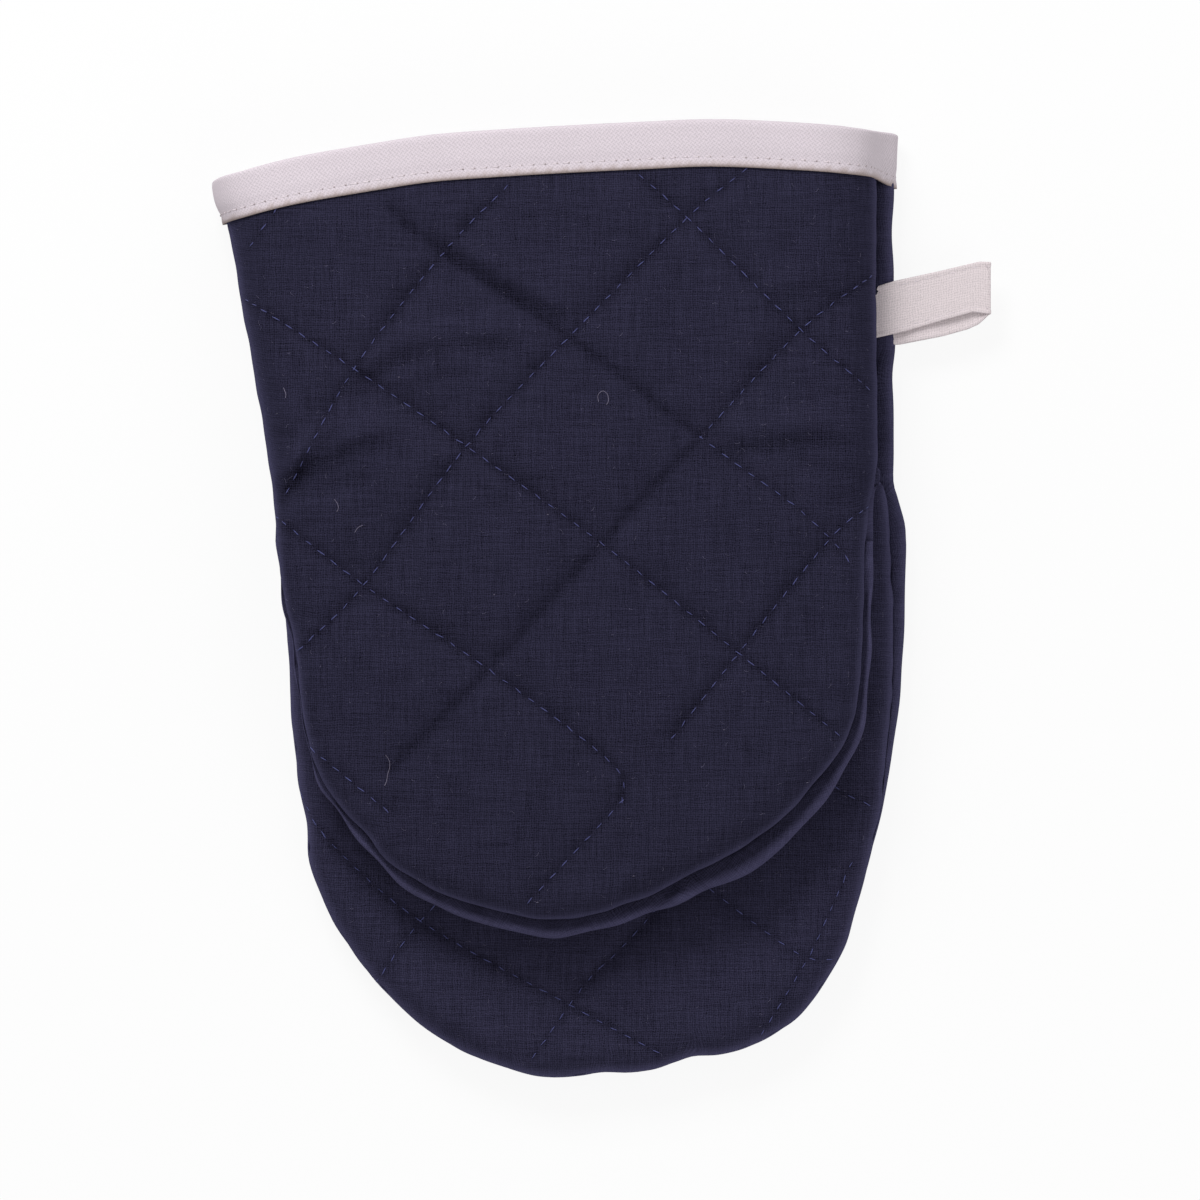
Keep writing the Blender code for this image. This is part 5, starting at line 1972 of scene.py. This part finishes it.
@dataclass
class Studio:
    """The floor, the light and the camera."""

    millimetres_across: float = 306.6
    lens: float = 400.0
    focus_height: float = 18.0
    aside: float = -0.13
    floor_drop: float = 0.2

    def floor(self) -> None:
        """Lays a pale floor that shows white and keeps a soft shadow."""
        bpy.ops.mesh.primitive_plane_add(size=6, location=(0, 0, -self.floor_drop * MM))
        floor = bpy.context.object
        floor.name = "floor"
        material = bpy.data.materials.new("pale_floor")
        material.use_nodes = True
        tree = material.node_tree
        tree.nodes.clear()
        graph = NodeGraph(tree)
        out = graph.add("ShaderNodeOutputMaterial")
        matte = graph.add("ShaderNodeBsdfDiffuse")
        matte.inputs["Color"].default_value = (0.86, 0.86, 0.86, 1)
        glow = graph.add("ShaderNodeEmission")
        glow.inputs["Strength"].default_value = 1.0
        rays = graph.add("ShaderNodeLightPath")
        share = graph.times(rays.outputs["Is Camera Ray"], 0.9)
        mixed = graph.add("ShaderNodeMixShader")
        tree.links.new(share, mixed.inputs[0])
        tree.links.new(matte.outputs[0], mixed.inputs[1])
        tree.links.new(glow.outputs[0], mixed.inputs[2])
        tree.links.new(mixed.outputs[0], out.inputs[0])
        floor.data.materials.append(material)

    def light(self) -> None:
        """Sets soft light from above and from both sides."""
        world = bpy.data.worlds.new("studio")
        world.use_nodes = True
        world.node_tree.nodes["Background"].inputs["Color"].default_value = (1, 1, 1, 1)
        world.node_tree.nodes["Background"].inputs["Strength"].default_value = 0.47
        bpy.context.scene.world = world
        for name, place, size, power in (
            ("key", (-0.3, 0.75, 0.75), 0.4, 7.5),
            ("fill", (0.6, -0.55, 0.95), 0.8, 3.2),
        ):
            data = bpy.data.lights.new(name, "AREA")
            data.energy, data.size = power, size
            lamp = bpy.data.objects.new(name, data)
            lamp.location = place
            direction = -np.array(place)
            lamp.rotation_euler = Vector(direction).to_track_quat("-Z", "Y").to_euler()
            bpy.context.scene.collection.objects.link(lamp)

    def camera(self) -> None:
        """Sets the camera straight above the mitt."""
        data = bpy.data.cameras.new("camera")
        data.lens, data.sensor_width = self.lens, 36.0
        data.clip_start, data.clip_end = 0.05, 50
        camera = bpy.data.objects.new("camera", data)
        distance = self.millimetres_across * self.lens / data.sensor_width + self.focus_height
        camera.location = (self.aside * MM, 0, distance * MM)
        bpy.context.scene.collection.objects.link(camera)
        bpy.context.scene.camera = camera


def main() -> None:
    """Builds the mitt, dresses it and sets the studio."""
    bpy.context.scene.view_settings.view_transform = "Standard"
    navy, palm_navy_painted_lighter, lining = NAVY.material(), PALM_NAVY_PAINTED_LIGHTER.material(), LINING.material()
    mitt = Mitt(navy, lining)
    front, back = mitt.front(), mitt.back()
    front_shell, back_shell = front.shell(), back.shell()
    front_cloth = mitt.finish("front_panel", front, front_shell)
    back_cloth = mitt.finish("back_panel", back, back_shell, palm_navy_painted_lighter)
    palm_shell = mitt.palm()
    palm_cloth = mitt.finish("palm_panel", mitt.finger_palm(), palm_shell, palm_navy_painted_lighter)
    sewing = Sewing(QUILT_THREAD.material())
    bpy.context.view_layer.update()
    front_thread = sewing.sew("front_quilting", sewing.lines_on(front_cloth, FRONT_CHANNELS, 1), 11)
    back_thread = sewing.sew("back_quilting", sewing.lines_on(back_cloth, back.quilting.channels, -1), 12)
    palm_lines = sewing.lines_on(palm_cloth, FINGER_CHANNELS, 1)
    palm_lines = [line[line[:, 2] < LOWER_JAW_TOP] for line in palm_lines]
    palm_thread = sewing.sew("finger_quilting", [line for line in palm_lines if len(line) > 3], 13)
    binding = CuffBinding(front, front_shell, back, back_shell)
    tape = binding.build(BINDING.material())
    hem = Sewing(TAPE_THREAD.material(), pitch=3.0, length=2.2, width=0.3, lift=0.0)
    hem_thread = hem.sew("binding_stitches", [binding.hem], 14)
    # Painted shade of the needle holes: dark beads along the tape's hem.
    hole_shade = Sewing(NEEDLE_HOLE_SHADE.material(), pitch=3.0, length=0.55, width=0.45, lift=0.06)
    hole_shade_marks = hole_shade.sew("binding_needle_hole_shade", [np.roll(binding.hem[:-1], -2, axis=0)], 16)
    hanger = HangingLoop()
    loop = hanger.build(LOOP_TAPE.material())
    loop_thread = hem.sew("loop_stitches", hanger.hems, 15)
    lint = Lint(LINT_FIBRE.material())
    front_lint = lint.cling("front_lint", front_shell, 1, 21)
    palm_lint = lint.cling("palm_lint", palm_shell, 1, 22, below=LOWER_JAW_TOP)
    back_lint = lint.cling("back_lint", back_shell, -1, 23)
    strewn = Lint(PALE_THREAD.material()).strew("front_threads", front_cloth)

    for piece in (front_cloth, front_thread, front_lint, strewn):
        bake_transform(piece)
    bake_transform(palm_cloth)
    for piece in (back_cloth, back_thread, back_lint, palm_thread, palm_lint, tape, hem_thread, hole_shade_marks):
        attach(piece, "cuff_and_fingers")
    for piece in (loop, loop_thread):
        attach(piece, "loop")
    kinds = ("cloth", "wadding", "lining")
    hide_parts(*(f"{panel}_{kind}" for panel in ("cuff_front", "thumb_front") for kind in kinds))
    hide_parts(*(f"{panel}_{kind}" for panel in ("finger_palm", "thumb_palm") for kind in kinds))
    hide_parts(*(f"back_{kind}" for kind in kinds))
    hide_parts("back_tape", "cuff_front_tape")
    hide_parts("hanging_loop")

    studio = Studio()
    studio.floor()
    studio.light()
    studio.camera()


if __name__ == "__main__":
    main()
